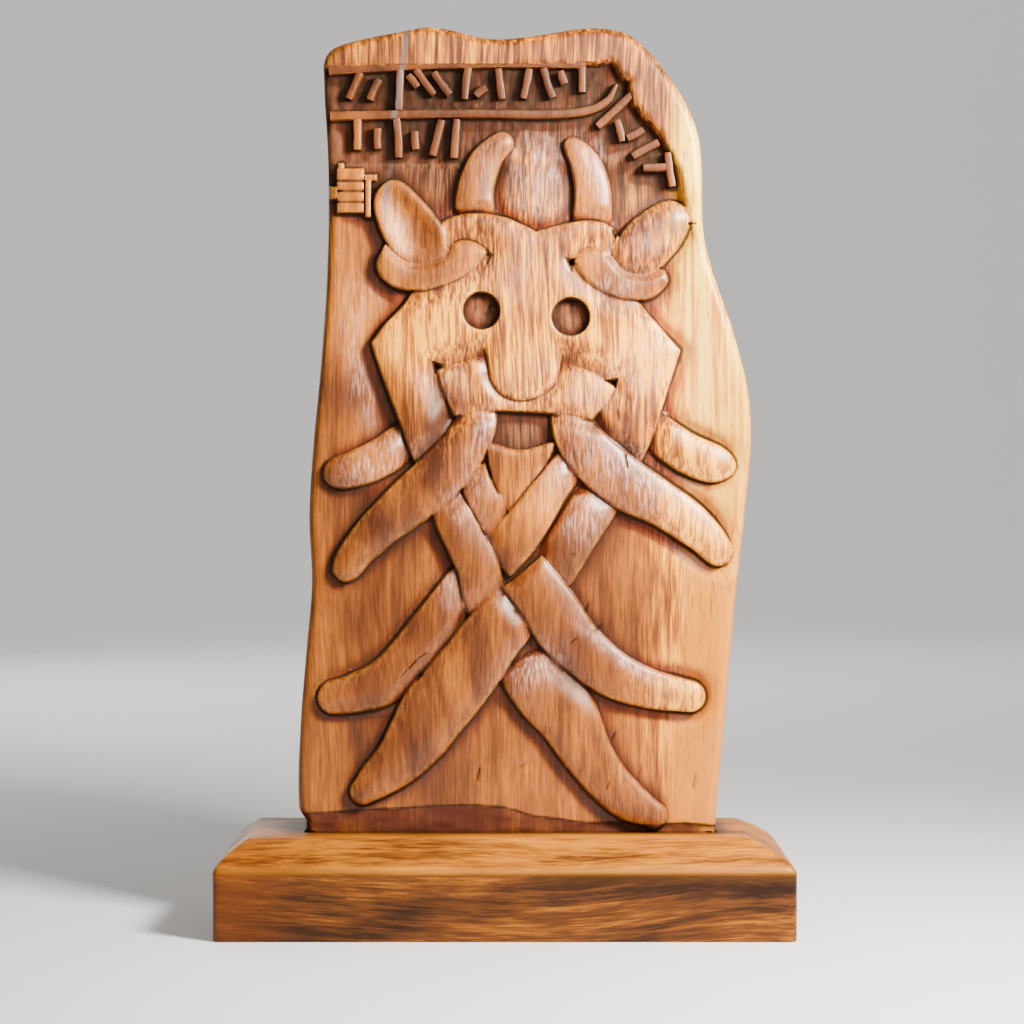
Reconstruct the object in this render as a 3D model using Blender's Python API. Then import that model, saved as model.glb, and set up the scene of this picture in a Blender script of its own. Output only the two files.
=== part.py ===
"""A carved wooden rune stone standing in its wooden plinth.

The slab is an upright board with an irregular outline. Its front is carved in relief: a horned mask with
a long moustache and a beard of interlaced locks, a barred tab, and a framed field of plain chisel strokes
at the top. The plinth is a low block with sloping shoulders and a blind slot for the slab's foot.

Frame: metres, +Z up, the carved front faces -Y, the origin is on the floor under the middle of the plinth.
Plan sizes below are millimetres across (x) and up (z) the slab's face. A level is millimetres of height from
the slab's original face, so 0 is uncarved wood and -6.5 is the ground that the mask stands on.
"""
import math

import bmesh
import bpy
import numpy as np
from mathutils import Vector
from mathutils.geometry import delaunay_2d_cdt

MM = 0.001

# ---------------------------------------------------------------- plinth
PLINTH_WIDTH = 253.0
PLINTH_DEPTH = 92.0
PLINTH_HEIGHT = 43.0
SKIRT_HEIGHT = 31.0          # upright part of its sides
CORNER_RADIUS = 2.5
SHOULDER_RUN = {"left": 13.0, "right": 20.0, "front": 16.0, "back": 16.0}
SHOULDER_STEPS = 4           # facets up each slightly rounded shoulder
SHOULDER_ARC = 0.6           # how much of a quarter circle's height the shoulder's curve takes
SHOULDER_STRAIGHT = 0.55     # share of the run that is a straight slope; the rest is the curve

# ---------------------------------------------------------------- slab
SLAB_FRONT = -21.0           # the original face, along y
SLAB_BACK = 15.0
SLAB_FOOT = 33.0             # underside of the foot, down in the slot
FOOT_LEFT = -88.5            # the foot's ends, along x
FOOT_RIGHT = 93.5
SLOT_CLEARANCE = 0.5
SLOT_LEFT = -89.5            # the slot's ends, just clear of the slab where it enters
SLOT_RIGHT = 94.5
FOOT_GAP = 0.3
FRONT_ROUND = 4.0            # rounding of the front arris
BACK_ROUND = 2.5
BACK_CENTRE = (5.0, 220.0)   # the back's edge is eased in towards this x and z
FOOT_LEVEL = -6.0            # face of the part that is down in the slot
FOOT_TOP = PLINTH_HEIGHT + 0.7
GROUND_LEVEL = -6.5
FIELD_LEVEL = -5.2
WALL_SLOPE = 6.0             # how steeply a carved edge falls, in mm per mm
WALL_FOOT = 0.85             # plan width of such a wall

# The outline, as runs that are smooth within and meet in corners.
OUTLINE = (
    ((FOOT_LEFT, SLAB_FOOT), (-88.8, 47.9)),
    ((-88.8, 47.9), (-92, 54), (-91.3, 90), (-88.3, 127), (-86.1, 154), (-87.2, 184), (-85.2, 217),
     (-82, 250), (-79.3, 290), (-78.5, 339), (-80.2, 374), (-79.6, 385.5), (-75.2, 390.4), (-62, 394.3),
     (-42, 398.2), (-34.9, 399.4), (-23.8, 398.1), (-11.4, 394.9), (0, 394.2), (18.3, 396.4), (35, 398.9),
     (47.5, 398.3), (55.5, 395.5), (64.8, 387.1), (79.1, 367.2), (85.9, 348.3), (87.6, 312), (91.5, 294),
     (101.3, 265), (108.2, 237), (109, 214), (106, 181), (102.2, 146), (98.8, 109), (96.2, 75),
     (94.2, 53)),
    ((94.2, 53), (FOOT_RIGHT, SLAB_FOOT)),
)

# ---------------------------------------------------------------- mask, as closed outlines
FACE = (
    ((-28, 313.5), (-21, 316.2), (-10.3, 316.9), (0, 315.2), (8.3, 311.7), (13.5, 309)),
    ((13.5, 309), (20, 310.9), (29.2, 313), (38.2, 313.6), (46, 311.7), (50, 307)),
    ((50, 307), (57, 290), (59.4, 278), (68, 267.2), (77.1, 257)),
    ((77.1, 257), (73.7, 246.3), (69.2, 232), (63.6, 215.8), (59.9, 207)),
    ((59.9, 207), (45, 213), (30, 222), (24, 234)),
    ((24, 234), (-8, 234)),
    ((-8, 234), (-16, 222), (-28, 213), (-39.7, 206)),
    ((-39.7, 206), (-43, 216.4), (-49.7, 234), (-56, 251.4), (-58.8, 260.4)),
    ((-58.8, 260.4), (-53, 268.3), (-44, 278), (-38, 290), (-28, 313.5)),
)
NOSE = (
    ((-9, 263), (-7.3, 252.5), (-5.8, 244), (-1.2, 238), (6, 235.5), (14, 237), (20.8, 242), (23.6, 249),
     (25, 263)),
    ((25, 263), (-9, 263)),
)
MOUTH_BAR = (
    ((-30.5, 248), (-26.5, 237.5), (-22.4, 228.2)),
    ((-22.4, 228.2), (-10.3, 230.4), (9.5, 230.2), (25.8, 228.8), (38.6, 226.6)),
    ((38.6, 226.6), (48.2, 240.3), (44.4, 243.2)),
    ((44.4, 243.2), (36, 247.8), (24, 250.5), (7, 252)),
    ((7, 252), (-10.8, 253), (-21.5, 250.6), (-30.5, 248)),
)
LEFT_HORN = (
    ((-21.5, 312), (-21.3, 327), (-15.9, 342), (-8.6, 349.5), (-1, 353), (3.2, 348.6), (-2.1, 339.6),
     (-5.5, 327), (-4.6, 312)),
    ((-4.6, 312), (-21.5, 312)),
)
RIGHT_HORN = (
    ((28.7, 308), (31.1, 325), (29.5, 338), (26.2, 348), (29.5, 350.7), (35.9, 347.5), (42.1, 340.5),
     (46.2, 328), (46.4, 308)),
    ((46.4, 308), (28.7, 308)),
)
LEFT_EAR = (
    ((-25.5, 301), (-27.2, 310), (-32.3, 317.6), (-39, 325), (-46, 331), (-52, 331.2), (-57.4, 324.5),
     (-56.2, 314), (-50, 301.6), (-43, 296), (-35.6, 295.6), (-29, 298), (-25.5, 301)),
)
RIGHT_EAR = (
    ((46.9, 299), (52.3, 309.4), (59.6, 316.5), (70.9, 322.7), (78.5, 320.5), (81.3, 314), (76.8, 303.5),
     (69.5, 294.5)),
    ((69.5, 294.5), (62, 290.5), (53, 292.2), (46.9, 299)),
)
LEFT_CRESCENT = (
    ((-8.2, 300.4), (-13, 303.8), (-18.7, 305), (-25.9, 302)),
    ((-25.9, 302), (-36, 301), (-52.8, 304)),
    ((-52.8, 304), (-56.6, 294), (-49.7, 285.8), (-38, 283.9), (-24.4, 287.5), (-13, 294.5), (-8.2, 300.4)),
)
RIGHT_CRESCENT = (
    ((30.5, 296.6), (36, 301.4), (46.7, 301)),
    ((46.7, 301), (56, 296), (70.4, 292)),
    ((70.4, 292), (71.5, 287.2), (63.6, 280.1), (52, 280.6), (41.6, 284.6), (33.8, 291), (30.5, 296.6)),
)
LEFT_MOUSTACHE = (
    ((-4, 236), (-4.4, 222.8), (-10, 209.3), (-20.2, 195.2), (-33.8, 183.4), (-45, 175.5), (-58.6, 164.7),
     (-69.5, 155), (-76.2, 160.8), (-67.6, 177.7), (-50.7, 196.3), (-33.2, 212.7), (-24.2, 222.8),
     (-19, 236)),
    ((-19, 236), (-4, 236)),
)
RIGHT_MOUSTACHE = (
    ((35, 234), (40.5, 223.7), (54.6, 211), (72, 198.6), (89, 185.6), (100.3, 168.5), (94.5, 162.1),
     (82.8, 169.8), (66.5, 180), (48.8, 188), (32.8, 201), (22.7, 216.2), (19.5, 234)),
    ((19.5, 234), (35, 234)),
)
LEFT_WHISKER = (
    ((-44, 228), (-57, 218), (-67.6, 212.4), (-79.2, 206.5), (-77.8, 198), (-66, 197), (-50.7, 202.8),
     (-38, 212)),
    ((-38, 212), (-44, 228)),
)
RIGHT_WHISKER = (
    ((60, 216), (69.3, 209), (80.6, 202.3), (93, 199.2), (101.5, 204.5), (98, 212.4), (83.4, 219.7),
     (69, 229.5), (62, 236)),
    ((62, 236), (60, 216)),
)
CHIN = (
    ((-9, 217), (6.3, 212.4), (23, 217)),
    ((23, 217), (16, 203), (1.5, 183.5)),
    ((1.5, 183.5), (-5, 198), (-9, 217)),
)

# Locks of the beard: x, z and width down the middle of each ribbon.
CHIN_LOCK = ((-15.5, 205, 13), (-12.3, 196.4, 13.2), (-6.2, 185, 13.2), (-2, 174, 13))
LEFT_LOCK = ((-27.5, 192.5, 15), (-22, 181.7, 16.7), (-15.8, 168.8, 17.3), (-12.2, 161.5, 17.6),
             (-9.6, 151, 18.5), (-7, 140, 18))
UPPER_RIGHT_LOCK = ((30, 208, 14.5), (21, 197, 14.8), (13, 184.8, 17), (4.5, 174, 19.3), (-5, 163, 19))
LOWER_RIGHT_LOCK = ((43, 194, 20), (33.6, 180, 20), (25.7, 167, 20), (17, 153, 20))
FAR_RIGHT_TAIL = ((7.6, 159, 22), (19, 144.3, 23.5), (24.2, 135.8, 24.3), (31.3, 127, 22.6), (47, 114, 20),
                  (64.1, 107.1, 16.5), (82, 103.6, 13))
LOWER_LEFT_TAIL = ((8, 144.5, 24), (-5.9, 130.2, 26.3), (-14.4, 118.4, 28), (-23.8, 106.3, 29),
                   (-32, 96.7, 29.3), (-38.2, 86.9, 27), (-47.4, 75, 21.5), (-57.7, 66.1, 16),
                   (-62.8, 61.6, 11.5))
FAR_LEFT_TAIL = ((-14, 155, 22), (-24.1, 142, 22), (-32.8, 131.4, 22), (-42, 119.8, 22), (-53, 110.2, 20),
                 (-67.9, 104.8, 16), (-75.8, 103.3, 14))
LOWER_RIGHT_TAIL = ((10, 122, 33), (21, 104.5, 31), (27.4, 95.1, 27.3), (36.3, 78.7, 21.5),
                    (45.7, 65.7, 18.4), (54.7, 57.3, 16.7), (66, 50.6, 11))

# Each form's level at its crown, and the width and drop of its rolled edge.
FORMS = {
    "far_left_tail": (FAR_LEFT_TAIL, -1.0, 9.0, 1.7),
    "left_whisker": (LEFT_WHISKER, -1.2, 9.0, 2.2),
    "right_whisker": (RIGHT_WHISKER, -1.2, 9.0, 2.2),
    "left_horn": (LEFT_HORN, -0.6, 8.5, 1.8),
    "right_horn": (RIGHT_HORN, -0.6, 8.5, 1.8),
    "chin": (CHIN, -3.6, 3.0, 0.5),
    "chin_lock": (CHIN_LOCK, -1.0, 6.5, 1.1),
    "left_lock": (LEFT_LOCK, -0.8, 8.5, 1.5),
    "upper_right_lock": (UPPER_RIGHT_LOCK, -0.8, 9.0, 1.5),
    "lower_right_lock": (LOWER_RIGHT_LOCK, -1.0, 9.5, 1.5),
    "lower_right_tail": (LOWER_RIGHT_TAIL, -0.9, 10.5, 2.0),
    "lower_left_tail": (LOWER_LEFT_TAIL, -0.6, 10.5, 1.8),
    "far_right_tail": (FAR_RIGHT_TAIL, -0.6, 10.0, 2.0),
    "face": (FACE, -0.4, 8.0, 1.2),
    "nose": (NOSE, -0.4, 7.0, 1.2),
    "mouth_bar": (MOUTH_BAR, -1.2, 7.0, 1.3),
    "left_moustache": (LEFT_MOUSTACHE, -0.2, 10.5, 2.2),
    "right_moustache": (RIGHT_MOUSTACHE, -0.2, 10.5, 2.2),
    "left_crescent": (LEFT_CRESCENT, -0.2, 6.0, 1.0),
    "right_crescent": (RIGHT_CRESCENT, -0.2, 6.0, 1.0),
    "left_ear": (LEFT_EAR, 0.0, 6.0, 1.0),
    "right_ear": (RIGHT_EAR, -0.2, 10.0, 2.2),
}
ROUND_ENDED = ("far_left_tail", "lower_right_tail", "lower_left_tail", "far_right_tail")

# Which form dips under which, how deep, and over what distance it comes up again.
LACING = {
    "left_horn": (("face", 3.4, 6.0),),
    "right_horn": (("face", 3.4, 8.0),),
    "left_whisker": (("face", 2.6, 9.0),),
    "right_whisker": (("face", 2.6, 9.0), ("right_moustache", 2.0, 5.0)),
    "face": (("mouth_bar", 3.0, 13.0), ("left_crescent", 1.9, 11.0), ("right_crescent", 1.9, 11.0),
             ("left_moustache", 3.0, 9.0), ("right_moustache", 2.8, 7.0)),
    "mouth_bar": (("nose", 1.8, 6.0),),
    "left_moustache": (("mouth_bar", 2.2, 9.0),),
    "right_moustache": (("mouth_bar", 2.2, 9.0),),
    "left_crescent": (("left_ear", 1.6, 4.0),),
    "right_crescent": (("right_ear", 1.6, 4.0),),
    "chin_lock": (("left_moustache", 2.2, 7.0), ("upper_right_lock", 2.0, 9.0)),
    "left_lock": (("left_moustache", 2.2, 9.0), ("lower_left_tail", 2.2, 10.0)),
    "upper_right_lock": (("right_moustache", 2.0, 9.0), ("left_lock", 2.2, 9.0)),
    "lower_right_lock": (("right_moustache", 2.0, 10.0), ("upper_right_lock", 2.2, 9.0),
                         ("far_right_tail", 2.2, 10.0)),
    "far_right_tail": (("upper_right_lock", 2.2, 7.0),),
    "lower_left_tail": (("far_right_tail", 2.2, 9.0),),
    "far_left_tail": (("left_lock", 2.6, 10.0), ("lower_left_tail", 2.4, 7.0)),
    "lower_right_tail": (("far_right_tail", 2.4, 12.0), ("lower_left_tail", 2.4, 10.0)),
}

EAR_DISH = 2.4               # depth of the left ear's hollow
EAR_DISH_RUN = 9.0           # how far in from the ear's edge it reaches its depth
EYES = ((-10.5, 274.5, 8.65), (29.0, 271.8, 8.75))
EYE_LEVEL = -5.6
# Little three-cornered pits where two curved cuts meet.
PITS = (
    ((-8.2, 301), (-5.6, 299.2), (-8, 295)),
    ((26.6, 297.6), (30.8, 297), (29.6, 292)),
    ((-32.2, 252.2), (-27, 250.6), (-31.6, 247.4)),
    ((49.8, 244.6), (48.8, 240.6), (44.8, 243.4)),
    ((47.2, 310.5), (50.4, 309.4), (47.6, 303)),
)
PIT_LEVEL = -6.0
CROWN_DOME = (13.0, 331.0, 17.0, 24.0, 3.0)   # x, z, half width, half height and rise between the horns

# ---------------------------------------------------------------- inscription field and tab
BAND_LEVEL = -0.9
UPPER_BAND = ((-79.5, 380.4, 4.4), (-40, 382.4, 3.7), (0, 383.5, 4.0), (35.2, 383.2, 4.2))
BAND_RETURN = ((33.9, 384.5, 2.9), (33.9, 370.6, 2.9))
LOWER_BAND = ((-79, 360.2, 3.4), (-20, 361.2, 3.3), (20, 360.9, 3.3), (36, 362.4, 3.2), (45, 366.8, 2.8),
              (49.2, 374, 1.4))
STROKE_WIDTH = 3.0
# Strokes: x, z at the middle, length, lean in degrees from upright; none joins another, so none makes a sign.
ROW_ONE = ((-66.5, 373.6, 12.5, 24), (-57.6, 371.8, 10, 24), (-46.6, 371.6, 17.5, 2),
           (-40.6, 375.4, 6.5, -38), (-35.2, 375.0, 13.6, -36), (-27.8, 374.4, 12.0, -36),
           (-17.0, 374.4, 13.8, 6), (-10.6, 371.0, 6.0, 52), (-2.2, 374.2, 13.4, -7),
           (9.4, 374.4, 13.2, 12), (19.0, 374.6, 13.4, -18), (25.4, 377.0, 6.0, -18))
ROW_TWO = ((-65.2, 352.4, 14.0, 0), (-56.2, 350.2, 9.0, 0), (-47.4, 350.4, 17.0, -3), (-39.6, 349.4, 8.0, -3),
           (-30.0, 350.6, 16.0, 14), (-22.0, 350.2, 17.0, 4))
ROW_THREE = ((48.8, 363.2, 22.0, 47), (50.4, 353.6, 9.5, -14), (57.4, 352.4, 8.0, 62),
             (62.0, 345.6, 13.0, 62), (66.0, 337.6, 10.0, 88), (72.8, 336.6, 15.0, -8))

RECESS_EDGE = ((30, 383.5), (47, 385), (56.5, 376), (58.5, 366), (70, 352), (78, 338), (82, 322), (88, 300))
# Closes the rim's loop outside the slab.
RECESS_BEYOND = ((130, 300), (130, 430), (-130, 430), (-130, 381.5))
RECESS_RAMP = 2.6            # plan width of the slope from the rim down to the field
RIM_FADE = (300, 324)        # heights over which the uncarved rim rises out of the ground
FIELD_FADE = (334, 344)      # heights over which the ground becomes the field
FIELD_STEP = (-76.0, -20.0, 339.6, 0.8)       # x from and to, z, and height of the thin step under the field
FIELD_STEP_FADE = 22.0       # how far below its edge the step runs out

TAB_BODY = (-74.0, -62.5, 318.0, 337.0)       # x from and to, z from and to
TAB_LEVEL = -2.2
TAB_GROOVES = (331.7, 327.2, 322.4)
GROOVE_HALF = 0.6            # half the width of such a groove, and its margin at each end
GROOVE_DEPTH = 1.2
TAB_PIECES = ((-77.5, -73.0, 324.0, 329.0), (-73.6, -71.4, 336.0, 339.4), (-61.5, -59.4, 316.0, 334.0),
              (-62.0, -56.8, 332.0, 334.4))
FOOT_STRIP = ((-100, 50), (-55, 53), (-15, 55), (0, 54), (12, 50.5), (40, 47), (100, 46))
FOOT_STRIP_LEVEL = -5.4

# ---------------------------------------------------------------- the ground's lift towards the right edge
EDGE_LIFT = 3.4
LIFT_ACROSS = (66, 96)       # x over which it sets in
LIFT_UP = (60, 100)          # z over which it sets in
LIFT_REACH = 26.0            # how far in from the edge it reaches

# ---------------------------------------------------------------- fineness of the facets
OUTLINE_STEP = 5.0
FORM_STEP = 3.3
LEVEL_STEP = 2.5             # step of the loops that the levels are measured from
INSET = 2.6                  # second line inside each form's edge, along its rolled edge
GRID_STEP = 6.2
GRID_ROWS = 0.87             # row spacing of the grid, as a share of its step
GRID_TOP = 398.0
CLEAR_OF_LINES = 2.6         # no grid point is nearer than this to a line
CLEAR_OF_EDGE = 1.0          # no carved line is nearer than this to the slab's outline
TRUE_TO_LOOP = 0.25          # how far a moved line may stray before it is dropped
JUST_INSIDE = 0.4            # where a form is looked up, inside its own edge


# ================================================================ plan curves
def smooth_run(points, step):
    """Catmull-Rom curve through the points, read about every step along it."""
    control = np.array(points, dtype=float)
    if len(control) == 2:
        count = max(1, round(float(np.linalg.norm(control[1, :2] - control[0, :2])) / step))
        share = np.linspace(0, 1, count + 1)[:, None]
        return control[0] + (control[1] - control[0]) * share
    before = 2 * control[0] - control[1]
    after = 2 * control[-1] - control[-2]
    held = np.vstack([before, control, after])
    curve = [control[:1]]
    for index in range(1, len(held) - 2):
        a, b, c, d = held[index - 1:index + 3]
        span = float(np.linalg.norm((c - b)[:2]))
        count = max(1, round(span / step))
        t = (np.arange(1, count + 1) / count)[:, None]
        tangent_b = (c - a) * span / max(1e-6, float(np.linalg.norm((c - a)[:2])))
        tangent_c = (d - b) * span / max(1e-6, float(np.linalg.norm((d - b)[:2])))
        curve.append((2 * t**3 - 3 * t**2 + 1) * b + (t**3 - 2 * t**2 + t) * tangent_b
                     + (3 * t**2 - 2 * t**3) * c + (t**3 - t**2) * tangent_c)
    return np.vstack(curve)


def closed_outline(runs, step):
    """Loop of points along the runs, anticlockwise as seen from the front."""
    loop = np.vstack([smooth_run(run, step)[:-1] for run in runs])
    following = np.roll(loop, -1, axis=0)
    area = float(np.sum(loop[:, 0] * following[:, 1] - following[:, 0] * loop[:, 1]))
    return loop if area > 0 else loop[::-1]


def ribbon_outline(middle, step, round_end=False):
    """Loop around a ribbon given by x, z and width down its middle."""
    line = smooth_run(middle, step)
    along = np.gradient(line[:, :2], axis=0)
    along /= np.linalg.norm(along, axis=1)[:, None]
    across = np.stack([-along[:, 1], along[:, 0]], axis=1)
    half = line[:, 2:3] / 2
    left = line[:, :2] + across * half
    right = line[:, :2] - across * half
    pieces = [left]
    if round_end:
        turns = max(4, round(math.pi * float(half[-1, 0]) / step))
        angle = (np.arange(1, turns) * math.pi / turns)[:, None]
        pieces.append(line[-1, :2] + half[-1] * (across[-1] * np.cos(angle) + along[-1] * np.sin(angle)))
    pieces.append(right[::-1])
    loop = np.vstack(pieces)
    return loop[::-1]


def stroke_outline(x, z, length, lean, width=STROKE_WIDTH):
    """Plain straight stroke, slightly narrower at its lower end."""
    up = np.array([math.sin(math.radians(lean)), math.cos(math.radians(lean))])
    side = np.array([up[1], -up[0]])
    middle = np.array([x, z])
    top = middle + up * length / 2
    low = middle - up * length / 2
    return np.array([low - side * width * 0.44, low + side * width * 0.44, top + side * width / 2,
                     top - side * width / 2])


def box_outline(x_from, x_to, z_from, z_to):
    """Loop of a plain rectangle."""
    return np.array([(x_from, z_from), (x_to, z_from), (x_to, z_to), (x_from, z_to)], dtype=float)


def circle_outline(x, z, radius, step):
    """Loop of a circle, with points about every step round it."""
    count = max(16, round(2 * math.pi * radius / step))
    turn = np.arange(count) * 2 * math.pi / count
    return np.stack([x + radius * np.cos(turn), z + radius * np.sin(turn)], axis=1)


def signed_distance(points, loop):
    """Distance of each point from the loop, positive inside it."""
    nearest = np.full(len(points), 1e9)
    inside = np.zeros(len(points), dtype=bool)
    for a, b in zip(loop, np.roll(loop, -1, axis=0)):
        edge = b - a
        offset = points - a
        share = np.clip((offset @ edge) / max(1e-12, float(edge @ edge)), 0, 1)
        gap = offset - share[:, None] * edge
        nearest = np.minimum(nearest, np.einsum("ij,ij->i", gap, gap))
        if a[1] != b[1]:
            spans = (a[1] > points[:, 1]) != (b[1] > points[:, 1])
            crossing = a[0] + (points[:, 1] - a[1]) * edge[0] / edge[1]
            inside ^= spans & (points[:, 0] < crossing)
    return np.sqrt(nearest) * np.where(inside, 1.0, -1.0)


def ease(share):
    """Smooth step from 0 to 1."""
    held = np.clip(share, 0, 1)
    return held * held * (3 - 2 * held)


def fade(values, span):
    """Smooth step from 0 at the span's first value to 1 at its second."""
    return ease((values - span[0]) / (span[1] - span[0]))


# ================================================================ the carved surface
def form_loops(step):
    """Every raised form's loop, with its crown level, edge width, edge drop and dips."""
    forms = {}
    for name, (shape, crown, width, drop) in FORMS.items():
        if np.ndim(shape[0]) == 1:
            loop = ribbon_outline(shape, step, name in ROUND_ENDED)
        else:
            loop = closed_outline(shape, step)
        forms[name] = (loop, crown, width, drop, LACING.get(name, ()))
    return forms


def band_loops(step):
    """The inscription's frame, its strokes and the barred tab, all flat on top."""
    loops = [ribbon_outline(band, step) for band in (UPPER_BAND, LOWER_BAND)]
    loops.append(ribbon_outline(BAND_RETURN, step))
    loops += [stroke_outline(*stroke) for stroke in ROW_ONE + ROW_TWO + ROW_THREE]
    flat = [(loop, BAND_LEVEL) for loop in loops]
    flat += [(box_outline(*box), TAB_LEVEL) for box in (TAB_BODY,) + TAB_PIECES]
    return flat


def cut_loops(step):
    """Eyes, pits and the tab's grooves, each with the level of its floor."""
    cuts = [(circle_outline(x, z, radius, step * 0.7), EYE_LEVEL) for x, z, radius in EYES]
    cuts += [(np.array(pit, dtype=float), PIT_LEVEL) for pit in PITS]
    for z in TAB_GROOVES:
        x_from, x_to = TAB_BODY[0] + GROOVE_HALF, TAB_BODY[1] - GROOVE_HALF
        groove = box_outline(x_from, x_to, z - GROOVE_HALF, z + GROOVE_HALF)
        cuts.append((groove, TAB_LEVEL - GROOVE_DEPTH))
    return cuts


def ground_level(points, outline_distance):
    """The lowered ground round the mask, the writing field and the uncarved rim."""
    x, z = points[:, 0], points[:, 1]
    level = np.full(len(points), GROUND_LEVEL)
    level += EDGE_LIFT * fade(x, LIFT_ACROSS) * fade(z, LIFT_UP) * ease(1 - outline_distance / LIFT_REACH)
    level += (FIELD_LEVEL - GROUND_LEVEL) * fade(z, FIELD_FADE)
    step_from, step_to, step_z, step_rise = FIELD_STEP
    below = (step_z - z) / FIELD_STEP_FADE
    under_step = (x > step_from) & (x < step_to) & (below > 0) & (below < 1)
    level += step_rise * under_step * (1 - below)
    dome_x, dome_z, half_width, half_height, rise = CROWN_DOME
    across = ((x - dome_x) / half_width)**2 + ((z - dome_z) / half_height)**2
    level += rise * np.clip(1 - across, 0, 1)
    strip_x, strip_z = np.array(FOOT_STRIP).T
    level = np.where(z < np.interp(x, strip_x, strip_z), FOOT_STRIP_LEVEL, level)
    inside_rim = signed_distance(points, np.array(RECESS_EDGE + RECESS_BEYOND)[::-1])
    up_the_ramp = ease(1 + inside_rim / RECESS_RAMP)
    return level * (1 - up_the_ramp * fade(z, RIM_FADE))


def carved_level(points, fineness):
    """Level of the finished front at each point, and which form shows there."""
    outline_distance = signed_distance(points, closed_outline_of_slab(fineness))
    level = ground_level(points, outline_distance)
    shown = np.full(len(points), -1)
    forms = form_loops(fineness)
    distances = {name: signed_distance(points, form[0]) for name, form in forms.items()}
    for index, (name, (_, crown, width, drop, dips)) in enumerate(forms.items()):
        inward = distances[name]
        own = crown - drop * (1 - np.clip(inward / width, 0, 1))**2
        for other, depth, run in dips:
            own = own - depth * ease(1 + distances[other] / run)
        if name == "left_ear":
            own = own - EAR_DISH * ease(inward / EAR_DISH_RUN)
        own = own + np.minimum(inward, 0) * WALL_SLOPE
        shown = np.where(own > level, index, shown)
        level = np.maximum(level, own)
    for loop, top in band_loops(fineness):
        own = top + np.minimum(signed_distance(points, loop), 0) * WALL_SLOPE
        shown = np.where(own > level, len(forms), shown)
        level = np.maximum(level, own)
    for loop, floor in cut_loops(fineness):
        inward = signed_distance(points, loop)
        level = np.where(inward > 0, np.minimum(level, np.maximum(floor, level - inward * WALL_SLOPE)), level)
    inside_round = np.clip(FRONT_ROUND - outline_distance, 0, FRONT_ROUND)
    level = level - (FRONT_ROUND - np.sqrt(FRONT_ROUND**2 - inside_round**2))
    level = np.where(points[:, 1] < FOOT_TOP, np.minimum(level, FOOT_LEVEL), level)
    return level, shown


def closed_outline_of_slab(step):
    """The slab's own loop, closed across its foot."""
    runs = OUTLINE + (((FOOT_RIGHT, SLAB_FOOT), (FOOT_LEFT, SLAB_FOOT)),)
    return closed_outline(runs, step)


def offset_loop(loop, distance):
    """The loop's points moved sideways, outward where distance is negative."""
    along = np.roll(loop, -1, axis=0) - np.roll(loop, 1, axis=0)
    along /= np.linalg.norm(along, axis=1)[:, None]
    inward = np.stack([-along[:, 1], along[:, 0]], axis=1)
    return loop + inward * distance


class Plan:
    """Points and edges that the front's triangles must follow."""

    def __init__(self, slab):
        self.slab = slab
        self.points = []
        self.edges = []

    def add_line(self, points, keep=None, closed=True):
        """Add a line's kept points, with an edge wherever one kept point follows another."""
        numbers = []
        for index, point in enumerate(points):
            kept = keep is None or keep[index]
            numbers.append(len(self.points) if kept else -1)
            if kept:
                self.points.append((float(point[0]), float(point[1])))
        pairs = zip(numbers, numbers[1:] + numbers[:1]) if closed else zip(numbers, numbers[1:])
        self.edges += [(a, b) for a, b in pairs if a >= 0 and b >= 0]

    def add_cut(self, loop, shift=0.0, keep=True):
        """Add a carved loop moved in by shift, where it stays true and clear of the slab's outline."""
        moved = offset_loop(loop, shift)
        true_to_loop = np.abs(signed_distance(moved, loop) - shift) < TRUE_TO_LOOP
        clear = signed_distance(moved, self.slab) > CLEAR_OF_EDGE
        self.add_line(moved, true_to_loop & clear & keep)

    def add_level_line(self, x_from, x_to, z, spans):
        """Add a straight line of equal spans at one height."""
        self.add_line([(x, z) for x in np.linspace(x_from, x_to, spans + 1)], closed=False)

    def add_grid(self):
        """Add a loose triangular grid wherever no line is near."""
        heights = np.arange(FOOT_TOP + CLEAR_OF_LINES, GRID_TOP, GRID_STEP * GRID_ROWS)
        left, right = self.slab[:, 0].min(), self.slab[:, 0].max()
        grid = np.array([(x + GRID_STEP / 2 * (row % 2), z) for row, z in enumerate(heights)
                         for x in np.arange(left, right, GRID_STEP)])
        placed = np.array(self.points)
        gaps = np.min(np.linalg.norm(grid[:, None, :] - placed[None, :, :], axis=2), axis=1)
        free = (gaps > CLEAR_OF_LINES) & (signed_distance(grid, self.slab) > FRONT_ROUND + CLEAR_OF_EDGE)
        self.points += [(float(x), float(z)) for x, z in grid[free]]


def add_arris(plan):
    """Lines along the rounded front arris, and across the foot where it enters the slot."""
    for inset in (FRONT_ROUND * 0.3, FRONT_ROUND):
        ring = offset_loop(plan.slab, inset)
        inside = signed_distance(ring, plan.slab) > inset - TRUE_TO_LOOP
        plan.add_line(ring, inside & (ring[:, 1] > FOOT_TOP + 1))
    for z in (FOOT_TOP - 0.1, FOOT_TOP + 0.1):
        plan.add_level_line(FOOT_LEFT + 0.5, FOOT_RIGHT - 0.3, z, 15)


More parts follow.
